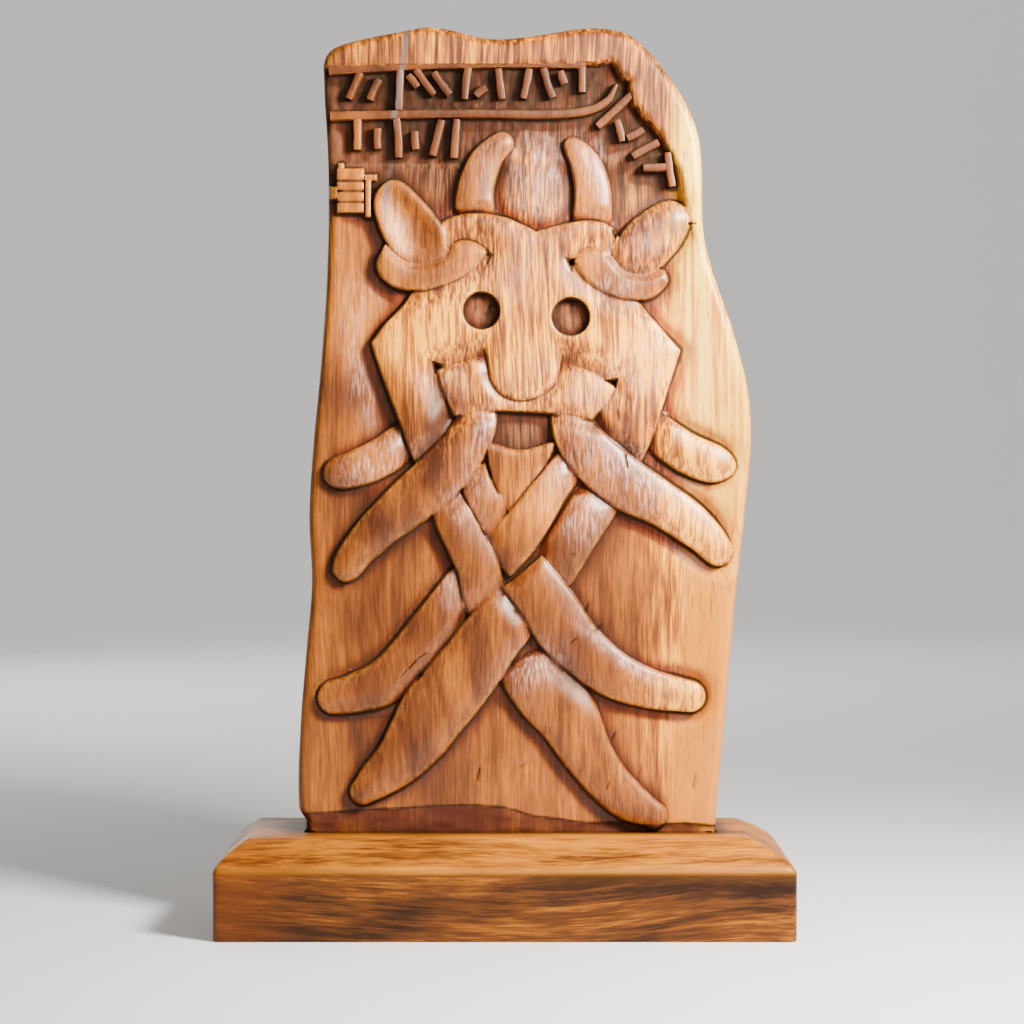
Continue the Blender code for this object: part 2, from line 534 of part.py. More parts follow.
def front_plan():
    """Lines along every carved edge and its foot, and a loose grid between them."""
    plan = Plan(closed_outline_of_slab(OUTLINE_STEP))
    plan.add_line(plan.slab)
    add_arris(plan)
    for index, (loop, *_) in enumerate(form_loops(FORM_STEP).values()):
        shows = carved_level(offset_loop(loop, JUST_INSIDE), LEVEL_STEP)[1] == index
        for shift in (0.0, -WALL_FOOT, INSET):
            plan.add_cut(loop, shift, shows)
    for loop, _ in band_loops(FORM_STEP * 2):
        plan.add_cut(loop)
        plan.add_cut(loop, -WALL_FOOT)
    for loop, _ in cut_loops(FORM_STEP):
        plan.add_cut(loop)
    for x, z, radius in EYES:
        plan.add_cut(circle_outline(x, z, radius - WALL_FOOT, FORM_STEP))
    plan.add_line(smooth_run(RECESS_EDGE, FORM_STEP), closed=False)
    step_from, step_to, step_z, _ = FIELD_STEP
    plan.add_level_line(step_from, step_to, step_z - 0.05, 4)
    plan.add_level_line(step_from, step_to, step_z + 0.3, 4)
    plan.add_grid()
    return plan


def front_mesh(plan):
    """Skin of triangles over the carved front."""
    coordinates = [Vector(point) for point in plan.points]
    boundary = [list(range(len(plan.slab)))]
    points, _, faces, *_ = delaunay_2d_cdt(coordinates, plan.edges, boundary, 1, 1e-3, False)
    flat = np.array([tuple(point) for point in points])
    middles = flat[np.array(faces)].mean(axis=1)
    within = signed_distance(middles, plan.slab) > 0
    level, _ = carved_level(flat, LEVEL_STEP)
    mesh = bmesh.new()
    front = [mesh.verts.new((x * MM, (SLAB_FRONT - height) * MM, z * MM))
             for (x, z), height in zip(flat, level)]
    for face, kept in zip(faces, within):
        if kept:
            mesh.faces.new([front[number] for number in face])
    return mesh


def extrude_rim(mesh, edges, depth):
    """Carry a ring of edges straight back to a depth along y; gives the new vertices and edges."""
    grown = bmesh.ops.extrude_edge_only(mesh, edges=edges)["geom"]
    ring = [item for item in grown if isinstance(item, bmesh.types.BMVert)]
    for vertex in ring:
        vertex.co.y = depth * MM
    return ring, [item for item in grown if isinstance(item, bmesh.types.BMEdge)]


def build_slab(material):
    """The carved front, closed by the sides and a plain back with an eased edge."""
    mesh = front_mesh(front_plan())
    rim = [edge for edge in mesh.edges if edge.is_boundary]
    _, side_edges = extrude_rim(mesh, rim, SLAB_BACK - BACK_ROUND)
    back_ring, back_edges = extrude_rim(mesh, side_edges, SLAB_BACK)
    centre_x, centre_z = BACK_CENTRE
    for vertex in back_ring:
        inward = Vector((centre_x * MM - vertex.co.x, 0, centre_z * MM - vertex.co.z)).normalized()
        vertex.co += inward * BACK_ROUND * MM
    bmesh.ops.contextual_create(mesh, geom=back_edges)
    bmesh.ops.triangulate(mesh, faces=[face for face in mesh.faces if len(face.verts) > 4])
    bmesh.ops.recalc_face_normals(mesh, faces=mesh.faces)
    return finish_object("carved_slab", mesh, material)


# ================================================================ the plinth
def rounded_rectangle(x_from, x_to, y_from, y_to, radius):
    """Corner points of a rectangle with three-point rounded corners, anticlockwise from above."""
    corners = ((x_to - radius, y_to - radius, 0), (x_from + radius, y_to - radius, 90),
               (x_from + radius, y_from + radius, 180), (x_to - radius, y_from + radius, 270))
    ring = []
    for x, y, start in corners:
        for turn in (0, 45, 90):
            angle = math.radians(start + turn)
            ring.append((x + radius * math.cos(angle), y + radius * math.sin(angle)))
    return ring


def plinth_ring(rise_share):
    """Ring of the plinth at a share of the way up its shoulders; 0 is the top of the skirt."""
    bend = (1 - math.sqrt(1 - (SHOULDER_ARC * rise_share)**2)) / (1 - math.sqrt(1 - SHOULDER_ARC**2))
    inset = SHOULDER_STRAIGHT * rise_share + (1 - SHOULDER_STRAIGHT) * bend
    half_width = PLINTH_WIDTH / 2
    half_depth = PLINTH_DEPTH / 2
    ring = rounded_rectangle(-half_width + SHOULDER_RUN["left"] * inset,
                             half_width - SHOULDER_RUN["right"] * inset,
                             -half_depth + SHOULDER_RUN["front"] * inset,
                             half_depth - SHOULDER_RUN["back"] * inset, CORNER_RADIUS)
    height = SKIRT_HEIGHT + (PLINTH_HEIGHT - SKIRT_HEIGHT) * rise_share
    return [(x * MM, y * MM, height * MM) for x, y in ring]


def slot_cutter():
    """Box that cuts the blind slot; guide only."""
    low = (SLOT_LEFT, SLAB_FRONT - FOOT_LEVEL - SLOT_CLEARANCE, SLAB_FOOT - FOOT_GAP)
    high = (SLOT_RIGHT, SLAB_BACK + SLOT_CLEARANCE, PLINTH_HEIGHT * 2)
    mesh = bmesh.new()
    bmesh.ops.create_cube(mesh, size=1.0)
    for vertex in mesh.verts:
        vertex.co = [(low[axis] if vertex.co[axis] < 0 else high[axis]) * MM for axis in range(3)]
    cutter = finish_object("slot_cutter", mesh)
    cutter.hide_render = True
    cutter.display_type = "WIRE"
    return cutter


def build_plinth(material):
    """Low block with an upright skirt, sloping shoulders and a blind slot in its top."""
    mesh = bmesh.new()
    foot = [(x, y, 0.0) for x, y, _ in plinth_ring(0.0)]
    rings = [foot] + [plinth_ring(step / SHOULDER_STEPS) for step in range(SHOULDER_STEPS + 1)]
    rows = [[mesh.verts.new(point) for point in ring] for ring in rings]
    count = len(foot)
    for lower, upper in zip(rows, rows[1:]):
        for index in range(count):
            following = (index + 1) % count
            mesh.faces.new((lower[index], lower[following], upper[following], upper[index]))
    mesh.faces.new(rows[0][::-1])
    mesh.faces.new(rows[-1])
    plinth = finish_object("plinth", mesh, material)
    cut = plinth.modifiers.new("slot", "BOOLEAN")
    cut.operation = "DIFFERENCE"
    cut.object = slot_cutter()
    return plinth


# ================================================================ materials and scene
def wood(name, colour, roughness):
    """Plain oiled wood."""
    material = bpy.data.materials.new(name)
    material.use_nodes = True
    shader = material.node_tree.nodes["Principled BSDF"]
    shader.inputs["Base Color"].default_value = colour
    shader.inputs["Roughness"].default_value = roughness
    shader.inputs["Metallic"].default_value = 0.0
    return material


def finish_object(name, mesh, material=None):
    """Turn a finished bmesh into an object of the scene."""
    data = bpy.data.meshes.new(name)
    mesh.to_mesh(data)
    mesh.free()
    if material:
        data.materials.append(material)
    placed = bpy.data.objects.new(name, data)
    bpy.context.scene.collection.objects.link(placed)
    return placed


def main():
    """Clear the scene, then build the two pieces."""
    for existing in list(bpy.data.objects):
        bpy.data.objects.remove(existing, do_unlink=True)
    build_plinth(wood("plinth_wood", (0.33, 0.13, 0.035, 1.0), 0.32))
    build_slab(wood("slab_wood", (0.47, 0.22, 0.075, 1.0), 0.38))


main()
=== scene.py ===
import math

import bpy
import numpy as np
from bpy.props import FloatProperty, FloatVectorProperty, IntProperty, PointerProperty
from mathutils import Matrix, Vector
from mathutils.geometry import delaunay_2d_cdt


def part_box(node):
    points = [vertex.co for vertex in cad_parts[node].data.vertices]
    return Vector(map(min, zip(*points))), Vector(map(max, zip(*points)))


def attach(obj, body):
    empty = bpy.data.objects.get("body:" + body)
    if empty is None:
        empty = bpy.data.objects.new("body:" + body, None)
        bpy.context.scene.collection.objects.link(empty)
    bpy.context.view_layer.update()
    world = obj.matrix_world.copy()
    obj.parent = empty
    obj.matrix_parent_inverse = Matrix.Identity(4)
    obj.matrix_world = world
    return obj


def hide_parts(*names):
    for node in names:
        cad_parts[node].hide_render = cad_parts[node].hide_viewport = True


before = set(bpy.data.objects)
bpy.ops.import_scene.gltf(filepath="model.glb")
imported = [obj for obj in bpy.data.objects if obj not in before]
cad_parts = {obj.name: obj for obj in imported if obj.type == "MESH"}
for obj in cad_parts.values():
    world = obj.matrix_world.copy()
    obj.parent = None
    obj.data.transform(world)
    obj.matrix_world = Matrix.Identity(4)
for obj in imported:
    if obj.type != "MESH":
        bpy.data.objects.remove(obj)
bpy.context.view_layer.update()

bl_info = {
    "name": "Carved wooden rune stone",
    "version": (1, 0, 0),
    "blender": (4, 5, 0),
    "location": "View3D > Sidebar > Rune stone",
    "description": "Builds the carved slab, its inscription strokes, its plinth and a plain stage",
    "category": "Object",
}

MM = 0.001
SLAB_LOW, SLAB_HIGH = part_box("carved_slab")
PLINTH_LOW, PLINTH_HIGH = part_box("plinth")
SLAB_FRONT = SLAB_LOW[1] / MM
SLAB_BACK = SLAB_HIGH[1] / MM
SLAB_FOOT = SLAB_LOW[2] / MM
PLINTH_TOP = PLINTH_HIGH[2] / MM

# ---------------------------------------------------------------- the board
# The uncarved foot, and the levels of the ground, the writing field and the rough strip along the foot.
FOOT_TOP = PLINTH_TOP + 0.7
FOOT_LEVEL = -6.0
GROUND_LEVEL = -6.5
FIELD_LEVEL = -5.2
STRIP_LEVEL = GROUND_LEVEL - 0.35
WALL_SLOPE = 6.0                       # mm of height per mm of run down the side of a form
BEVEL_DROP = 0.6                       # drop of a form's worn edge, as a share of its width
BLOCK_DROP, BLOCK_ROLL = 0.25, 0.5     # drop and width of the eased edge of a tab, band or stroke
LIP_DROP, LIP_ROLL = 0.35, 0.7         # the same round an eye, a pit or a groove
FOOT_SHADE_WIDTH = 1.5                      # how far the painted shade line at a form's foot spreads
OUTLINE = (
    ((-88.5, 33), (-88.8, 47.9)),
    ((-88.8, 47.9), (-92, 54), (-91.3, 90), (-88.3, 127), (-86.1, 154), (-87.2, 184), (-85.2, 217),
     (-82, 250), (-79.3, 290), (-78.5, 339), (-80.2, 374), (-79.6, 385.5), (-75.2, 390.4), (-62, 394.3),
     (-42, 398.2), (-34.9, 399.4), (-23.8, 398.1), (-11.4, 394.9), (0, 394.2), (18.3, 396.4), (35, 398.9),
     (47.5, 398.3), (55.5, 395.5), (64.8, 387.1), (79.1, 367.2), (85.9, 348.3), (87.6, 312), (91.5, 294),
     (101.3, 265), (108.2, 237), (109, 214), (106, 181), (102.2, 146), (98.8, 109), (96.2, 75),
     (94.2, 53)),
    ((94.2, 53), (93.5, 33)),
    ((93.5, 33), (-88.5, 33)),
)

# ---------------------------------------------------------------- the mask, as closed outlines
FACE = (
    ((-28, 313.5), (-21, 316.2), (-10.3, 316.9), (0, 315.2), (8.3, 311.7), (13.5, 309)),
    ((13.5, 309), (20, 310.9), (29.2, 313), (38.2, 313.6), (46, 311.7), (50, 307)),
    ((50, 307), (57, 290), (59.4, 278), (68, 267.2), (77.1, 257)),
    ((77.1, 257), (73.7, 246.3), (69.2, 232), (63.6, 215.8), (59.9, 207)),
    ((59.9, 207), (45, 213), (30, 222), (24, 234)),
    ((24, 234), (-8, 234)),
    ((-8, 234), (-16, 222), (-28, 213), (-39.7, 206)),
    ((-39.7, 206), (-43, 216.4), (-49.7, 234), (-56, 251.4), (-58.8, 260.4)),
    ((-58.8, 260.4), (-53, 268.3), (-44, 278), (-38, 290), (-28, 313.5)),
)
NOSE = (
    ((-6, 276), (-8.5, 261), (-7.3, 252.5), (-5.8, 244), (-1.2, 238), (6, 235.5), (14, 237), (20.8, 242),
     (23.6, 249), (24.5, 261), (22, 276)),
    ((22, 276), (-6, 276)),
)
MOUTH_BAR = (
    ((-30.5, 248), (-26.5, 237.5), (-22.4, 228.2)),
    ((-22.4, 228.2), (-10.3, 230.4), (9.5, 230.2), (25.8, 228.8), (38.6, 226.6)),
    ((38.6, 226.6), (48.2, 240.3), (44.4, 243.2)),
    ((44.4, 243.2), (36, 247.8), (24, 250.5), (7, 252)),
    ((7, 252), (-10.8, 253), (-21.5, 250.6), (-30.5, 248)),
)
LEFT_HORN = (
    ((-21.5, 312), (-21.3, 327), (-15.9, 342), (-8.6, 349.5), (-1, 353), (3.2, 348.6), (-2.1, 339.6),
     (-5.5, 327), (-4.6, 312)),
    ((-4.6, 312), (-21.5, 312)),
)
RIGHT_HORN = (
    ((28.7, 308), (31.1, 325), (29.5, 338), (26.2, 348), (29.5, 350.7), (35.9, 347.5), (42.1, 340.5),
     (46.2, 328), (46.4, 308)),
    ((46.4, 308), (28.7, 308)),
)
LEFT_EAR = (
    ((-25.5, 301), (-27.2, 310), (-32.3, 317.6), (-39, 325), (-46, 331), (-52, 331.2), (-57.4, 324.5),
     (-56.2, 314), (-50, 301.6), (-43, 296), (-35.6, 295.6), (-29, 298), (-25.5, 301)),
)
RIGHT_EAR = (
    ((46.9, 299), (52.3, 309.4), (59.6, 316.5), (70.9, 322.7), (78.5, 320.5), (81.3, 314), (76.8, 303.5),
     (69.5, 294.5)),
    ((69.5, 294.5), (62, 290.5), (53, 292.2), (46.9, 299)),
)
LEFT_CRESCENT = (
    ((-8.2, 300.4), (-13, 303.8), (-18.7, 305), (-25.9, 302)),
    ((-25.9, 302), (-36, 301), (-52.8, 304)),
    ((-52.8, 304), (-56.6, 294), (-49.7, 285.8), (-38, 283.9), (-24.4, 287.5), (-13, 294.5), (-8.2, 300.4)),
)
RIGHT_CRESCENT = (
    ((30.5, 296.6), (36, 301.4), (46.7, 301)),
    ((46.7, 301), (56, 296), (70.4, 292)),
    ((70.4, 292), (71.5, 287.2), (63.6, 280.1), (52, 280.6), (41.6, 284.6), (33.8, 291), (30.5, 296.6)),
)
LEFT_MOUSTACHE = (
    ((-4, 236), (-4.4, 222.8), (-10, 209.3), (-20.2, 195.2), (-33.8, 183.4), (-45, 175.5), (-58.6, 164.7),
     (-69.5, 155), (-76.2, 160.8), (-67.6, 177.7), (-50.7, 196.3), (-33.2, 212.7), (-24.2, 222.8),
     (-19, 236)),
    ((-19, 236), (-4, 236)),
)
RIGHT_MOUSTACHE = (
    ((35, 234), (40.5, 223.7), (54.6, 211), (72, 198.6), (89, 185.6), (100.3, 168.5), (94.5, 162.1),
     (82.8, 169.8), (66.5, 180), (48.8, 188), (32.8, 201), (22.7, 216.2), (19.5, 234)),
    ((19.5, 234), (35, 234)),
)
LEFT_WHISKER = (
    ((-44, 228), (-57, 218), (-67.6, 212.4), (-79.2, 206.5), (-77.8, 198), (-66, 197), (-50.7, 202.8),
     (-38, 212)),
    ((-38, 212), (-44, 228)),
)
RIGHT_WHISKER = (
    ((60, 216), (69.3, 209), (80.6, 202.3), (93, 199.2), (101.5, 204.5), (98, 212.4), (83.4, 219.7),
     (69, 229.5), (62, 236)),
    ((62, 236), (60, 216)),
)
CHIN = (
    ((-9, 217), (6.3, 212.4), (23, 217)),
    ((23, 217), (16, 203), (1.5, 183.5)),
    ((1.5, 183.5), (-5, 198), (-9, 217)),
)

# Locks of the beard: x, z and width down the middle of each ribbon.
CHIN_LOCK = ((-15.5, 205, 13), (-12.3, 196.4, 13.2), (-6.2, 185, 13.2), (-2, 174, 13))
LEFT_LOCK = ((-27.5, 192.5, 15), (-22, 181.7, 16.7), (-15.8, 168.8, 17.3), (-12.2, 161.5, 17.6),
             (-9.6, 151, 18.5), (-7, 140, 18))
UPPER_RIGHT_LOCK = ((30, 208, 14.5), (21, 197, 14.8), (13, 184.8, 17), (4.5, 174, 19.3), (-5, 163, 19))
LOWER_RIGHT_LOCK = ((43, 194, 20), (33.6, 180, 20), (25.7, 167, 20), (17, 153, 20))
FAR_RIGHT_TAIL = ((7.6, 159, 22), (19, 144.3, 23.5), (24.2, 135.8, 24.3), (31.3, 127, 22.6), (47, 114, 20),
                  (64.1, 107.1, 16.5), (82, 103.6, 13))
LOWER_LEFT_TAIL = ((8, 144.5, 24), (-5.9, 130.2, 26.3), (-14.4, 118.4, 28), (-23.8, 106.3, 29),
                   (-32, 96.7, 29.3), (-38.2, 86.9, 27), (-47.4, 75, 21.5), (-57.7, 66.1, 16),
                   (-62.8, 61.6, 11.5))
FAR_LEFT_TAIL = ((-14, 155, 22), (-24.1, 142, 22), (-32.8, 131.4, 22), (-42, 119.8, 22), (-53, 110.2, 20),
                 (-67.9, 104.8, 16), (-75.8, 103.3, 14))
LOWER_RIGHT_TAIL = ((10, 122, 33), (21, 104.5, 31), (27.4, 95.1, 27.3), (36.3, 78.7, 21.5),
                    (45.7, 65.7, 18.4), (54.7, 57.3, 16.7), (66, 50.6, 11))
ROUND_ENDED = ("far_left_tail", "lower_right_tail", "lower_left_tail", "far_right_tail")

# Outline, level at the crown, then width and drop of the rolled edge.
FORMS = {
    "far_left_tail": (FAR_LEFT_TAIL, -1.0, 9.0, 1.7),
    "left_whisker": (LEFT_WHISKER, -1.2, 9.0, 2.2),
    "right_whisker": (RIGHT_WHISKER, -1.2, 9.0, 2.2),
    "left_horn": (LEFT_HORN, -0.6, 8.5, 1.8),
    "right_horn": (RIGHT_HORN, -0.6, 8.5, 1.8),
    "chin": (CHIN, -3.6, 3.0, 0.5),
    "chin_lock": (CHIN_LOCK, -1.0, 6.5, 1.1),
    "left_lock": (LEFT_LOCK, -0.8, 8.5, 1.5),
    "upper_right_lock": (UPPER_RIGHT_LOCK, -0.8, 9.0, 1.5),
    "lower_right_lock": (LOWER_RIGHT_LOCK, -1.0, 9.5, 1.5),
    "lower_right_tail": (LOWER_RIGHT_TAIL, -0.9, 10.5, 2.0),
    "lower_left_tail": (LOWER_LEFT_TAIL, -0.6, 10.5, 1.8),
    "far_right_tail": (FAR_RIGHT_TAIL, -0.6, 10.0, 2.0),
    "face": (FACE, -0.4, 8.0, 1.2),
    "nose": (NOSE, -0.4, 7.0, 1.2),
    "mouth_bar": (MOUTH_BAR, -1.2, 7.0, 1.3),
    "left_moustache": (LEFT_MOUSTACHE, -0.2, 10.5, 2.2),
    "right_moustache": (RIGHT_MOUSTACHE, -0.2, 10.5, 2.2),
    "left_crescent": (LEFT_CRESCENT, -0.2, 6.0, 1.0),
    "right_crescent": (RIGHT_CRESCENT, -0.2, 6.0, 1.0),
    "left_ear": (LEFT_EAR, 0.0, 6.0, 1.0),
    "right_ear": (RIGHT_EAR, -0.2, 10.0, 2.2),
}
# Which form dips under which, how deep, and over what distance it comes up again.
LACING = {
    "left_horn": (("face", 3.4, 6.0),),
    "right_horn": (("face", 3.4, 8.0),),
    "left_whisker": (("face", 2.6, 9.0),),
    "right_whisker": (("face", 2.6, 9.0), ("right_moustache", 2.0, 5.0)),
    "face": (("mouth_bar", 3.0, 13.0), ("left_crescent", 1.9, 11.0), ("right_crescent", 1.9, 11.0),
             ("left_moustache", 3.0, 9.0), ("right_moustache", 2.8, 7.0)),
    "mouth_bar": (("nose", 1.8, 6.0),),
    "left_moustache": (("mouth_bar", 2.2, 9.0),),
    "right_moustache": (("mouth_bar", 2.2, 9.0),),
    "left_crescent": (("left_ear", 1.6, 4.0),),
    "right_crescent": (("right_ear", 1.6, 4.0),),
    "chin_lock": (("left_moustache", 2.2, 7.0), ("upper_right_lock", 2.0, 9.0)),
    "left_lock": (("left_moustache", 2.2, 9.0), ("lower_left_tail", 2.2, 10.0)),
    "upper_right_lock": (("right_moustache", 2.0, 9.0), ("left_lock", 2.2, 9.0)),
    "lower_right_lock": (("right_moustache", 2.0, 10.0), ("upper_right_lock", 2.2, 9.0),
                         ("far_right_tail", 2.2, 10.0)),
    "far_right_tail": (("upper_right_lock", 2.2, 7.0),),
    "lower_left_tail": (("far_right_tail", 2.2, 9.0),),
    "far_left_tail": (("left_lock", 2.6, 10.0), ("lower_left_tail", 2.4, 7.0)),
    "lower_right_tail": (("far_right_tail", 2.4, 12.0), ("lower_left_tail", 2.4, 10.0)),
}
# A lean of a form's top: rise in mm per mm to the right and upward, from a point that keeps its level.
LEANS = {
    "left_ear": (-43, 313, 0.030, 0.020),
    "left_crescent": (-36, 292, 0.010, 0.012),
    "right_ear": (64, 306, -0.030, -0.020),
    "chin_lock": (-10, 192, -0.030, 0.0),
    "left_lock": (-17, 172, -0.030, 0.0),
}
EAR_DISH, EAR_DISH_RUN = 2.4, 9.0      # depth of the left ear's hollow and how far in it is full
SWELL_RISE, SWELL_RUN = 3.4, 26.0      # how far the ground rises to the slab's right edge, and over what distance
MOAT_DEPTH, MOAT_RUN = 2.0, 9.0        # how much it sinks again close round the forms there
# The eyes: x, z and radius. The pits: their three corners.
EYES = ((-10.5, 274.5, 8.65), (29.0, 271.8, 8.75))
EYE_LEVEL = -5.6
PITS = (
    ((-8.4, 301.4), (-5.4, 299.2), (-8, 294.6)),
    ((26.6, 297.8), (30.8, 297.2), (29.4, 291.6)),
    ((-32.3, 252.3), (-26.8, 250.8), (-31.4, 247.0)),
    ((50.0, 244.8), (49.0, 240.4), (44.6, 243.6)),
    ((47.2, 310.5), (50.4, 309.4), (47.6, 303)),
)
PIT_LEVEL = -6.2
# The dome between the horns: x, z, half width, half height and rise.
CROWN_DOME = (13.0, 331.0, 17.0, 24.0, 3.0)
# Unevenness left by the hand: height, length of its lumps across and up, and seed.
GROUND_WAVERS = ((0.35, (26, 34), 11), (0.12, (7, 13), 12))
CROWN_WAVER = (0.16, (15, 22), 31)
CUT_WAVER = (0.3, (2.2, 3.0), 41)
STEP_WAVER = (0.4, (14, 900), 5)
STRIP_WAVER = (0.25, (9, 2.5), 9)
STRIP_TOP_WAVER = (0.5, (16, 900), 8)

# ---------------------------------------------------------------- inscription field, tab and foot
BAND_LEVEL = -0.9
UPPER_BAND = ((-77.6, 380.5, 4.4), (-40, 382.4, 3.7), (0, 383.5, 4.0), (35.2, 383.2, 4.2))
BAND_RETURN = ((33.9, 384.0, 2.9), (33.9, 370.6, 2.9))
LOWER_BAND = ((-77.0, 360.2, 3.4), (-20, 361.2, 3.3), (20, 360.9, 3.3), (36, 362.4, 3.2), (45, 366.8, 2.8),
              (49.2, 374, 1.4))
STROKE_WIDTH = 3.0
# Strokes: x, z at the middle, length, lean in degrees from upright; none joins another, so none makes a sign.
ROW_ONE = ((-66.5, 373.6, 12.5, 24), (-57.6, 371.8, 10, 24), (-46.6, 371.6, 17.5, 2),
           (-40.6, 375.4, 6.5, -38), (-35.2, 375.0, 13.6, -36), (-27.8, 374.4, 12.0, -36),
           (-17.0, 374.4, 13.8, 6), (-10.6, 371.0, 6.0, 52), (-2.2, 374.2, 13.4, -7),
           (9.4, 374.4, 13.2, 12), (19.0, 374.6, 13.4, -18), (25.4, 377.0, 6.0, -18))
ROW_TWO = ((-65.2, 352.4, 14.0, 0), (-56.2, 350.2, 9.0, 0), (-47.4, 350.4, 17.0, -3), (-39.6, 349.4, 8.0, -3),
           (-30.0, 350.6, 16.0, 14), (-22.0, 350.2, 17.0, 4))
ROW_THREE = ((48.8, 363.2, 22.0, 47), (50.4, 353.6, 9.5, -14), (57.4, 352.4, 8.0, 62),
             (62.0, 345.6, 13.0, 62), (66.0, 337.6, 10.0, 88), (72.8, 336.6, 15.0, -8))
BANDS = (UPPER_BAND, LOWER_BAND, BAND_RETURN)
STROKES = ROW_ONE + ROW_TWO + ROW_THREE
RECESS_EDGE = ((30, 383.5), (47, 385), (56.5, 376), (58.5, 366), (70, 352), (78, 338), (82, 322), (88, 300))
# The step under the writing field: x from and to, z and rise.
FIELD_STEP = (-76.0, -20.0, 339.6, 0.8)
# The grooved tab and the pieces round it: x from and to, z from and to.
TAB_BODY = (-74.0, -62.5, 318.0, 337.0)
TAB_LEVEL = -2.2
TAB_GROOVES = (331.7, 327.2, 322.4)
TAB_PIECES = ((-77.5, -73.0, 324.0, 329.0), (-73.6, -71.4, 336.0, 339.4), (-61.5, -59.4, 316.0, 334.0),
              (-62.0, -56.8, 332.0, 334.4))
FOOT_STRIP = ((-100, 50), (-55, 53), (-15, 55), (0, 54), (12, 50.5), (40, 47), (100, 46))
# Nicks, checks and dark specks: x, z, half length, half width, lean from upright, depth, darkness.
MARKS = ((82.6, 313.0, 1.7, 0.5, 90, 1.0, 0.6), (-38.0, 112.5, 1.6, 1.0, 40, 1.1, 0.5),
         (30, 167, 0.3, 0.8, 0, 0.5, 0.9), (53.8, 208, 3.2, 0.45, -8, 0.5, 0.9),
         (30.4, 129, 1.6, 0.6, 50, 0.5, 0.8), (-12, 69, 2.4, 0.7, 12, 0.7, 0.7),
         (8, 73, 1.6, 0.4, 60, 0.3, 0.6), (48, 86, 1.8, 0.7, 30, 0.4, 0.8),
         (45.5, 65, 1.5, 0.5, 24, 0.4, 0.7), (-41, 118, 2.6, 0.5, 42, 0.6, 0.8),
         (-36.5, 122, 2.0, 0.45, 58, 0.5, 0.7), (-44.5, 114.5, 1.6, 0.4, 36, 0.4, 0.6),
         (36, 143, 2.2, 0.7, 20, 0.5, 0.5), (41, 134, 1.8, 0.7, 34, 0.5, 0.5),
         (70, 262, 1.0, 0.4, 0, 0.3, 0.5), (-64, 60.5, 0.6, 1.4, 0, 0.2, 0.6),
         (60, 71, 1.4, 0.6, 12, 0.4, 0.4), (84, 66, 2.6, 0.5, 14, 0.3, 0.6))

TOWARDS_LIGHT = np.array([0.74, 0.67])       # towards the key light; higher forms that way from a place give it painted shadow
SMOOTH_FORMS = ("left_horn", "right_horn", "left_ear", "left_crescent", "right_crescent", "lower_right_tail")
BAR_TONE = 0.26        # how much darker the bands and strokes are than the board round them

# Paler (+) and darker (-) areas, partly the board's own tone and partly painted light and shade, such as a painted pool
# of light right of the face and along the right edge and painted shade beside the nose: x, z, half width, half height,
# lean in degrees, amount.
TONES = ((8, 278, 58, 32, 0, 0.22), (60, 252, 20, 18, -30, 0.54), (8, 250, 18, 16, 0, 0.30),
         (-38, 262, 18, 14, 0, 0.34), (50, 222, 12, 12, 0, -0.30), (-46, 226, 9, 16, 0, -0.10),
         (90, 250, 12, 50, 0, 0.60), (78, 192, 28, 11, -57, 0.20), (88, 208, 15, 9, -60, -0.36),
         (88, 140, 14, 70, 0, 0.55), (14, 187, 12, 14, 30, 0.40), (-72, 268, 14, 22, 0, 0.14),
         (-70, 238, 12, 10, 0, -0.26), (-60, 206, 14, 8, 65, 0.30), (-56, 184, 22, 12, 45, -0.42),
         (28, 170, 14, 14, 40, -0.26), (32, 125, 18, 14, -40, -0.26), (-45, 112, 50, 44, 0, -0.13),
         (60, 52, 14, 10, 0, -0.24), (75, 105, 14, 8, -60, 0.06), (-36, 308, 7, 18, -25, -0.20),
         (-49, 311, 6, 12, -20, 0.30), (-38, 290, 16, 8, 0, -0.16), (52, 286, 16, 8, 0, -0.20),
         (66, 310, 10, 12, 30, -0.16), (8, 221, 14, 8, 0, 0.06), (-11, 273, 8, 8, 0, 0.10),
         (28, 271, 8, 8, 0, 0.10), (0, 372, 70, 14, 0, -0.12), (-72, 350, 14, 14, 0, 0.32),
         (-70, 392, 14, 8, 0, 0.12), (56, 150, 18, 26, 0, -0.10), (-33, 222, 6, 15, 20, -0.46),
         (-14, 330, 9, 16, 0, -0.12), (15, 330, 14, 18, 0, 0.16), (-31, 205, 5, 8, 0, -0.44),
         (30, 88, 14, 20, -40, -0.10), (-60, 140, 20, 12, 0, -0.14), (-62, 90, 14, 14, 0, -0.12),
         (-84, 140, 10, 60, 0, 0.16), (-5, 72, 16, 18, 0, 0.08), (-40, 72, 22, 12, 40, -0.22),
         (-15, 256, 7, 6, -20, -0.34), (30, 254, 6, 6, 20, -0.30), (-14, 165, 10, 14, 0, -0.05),
         (0, 393, 60, 6, 0, 0.04))
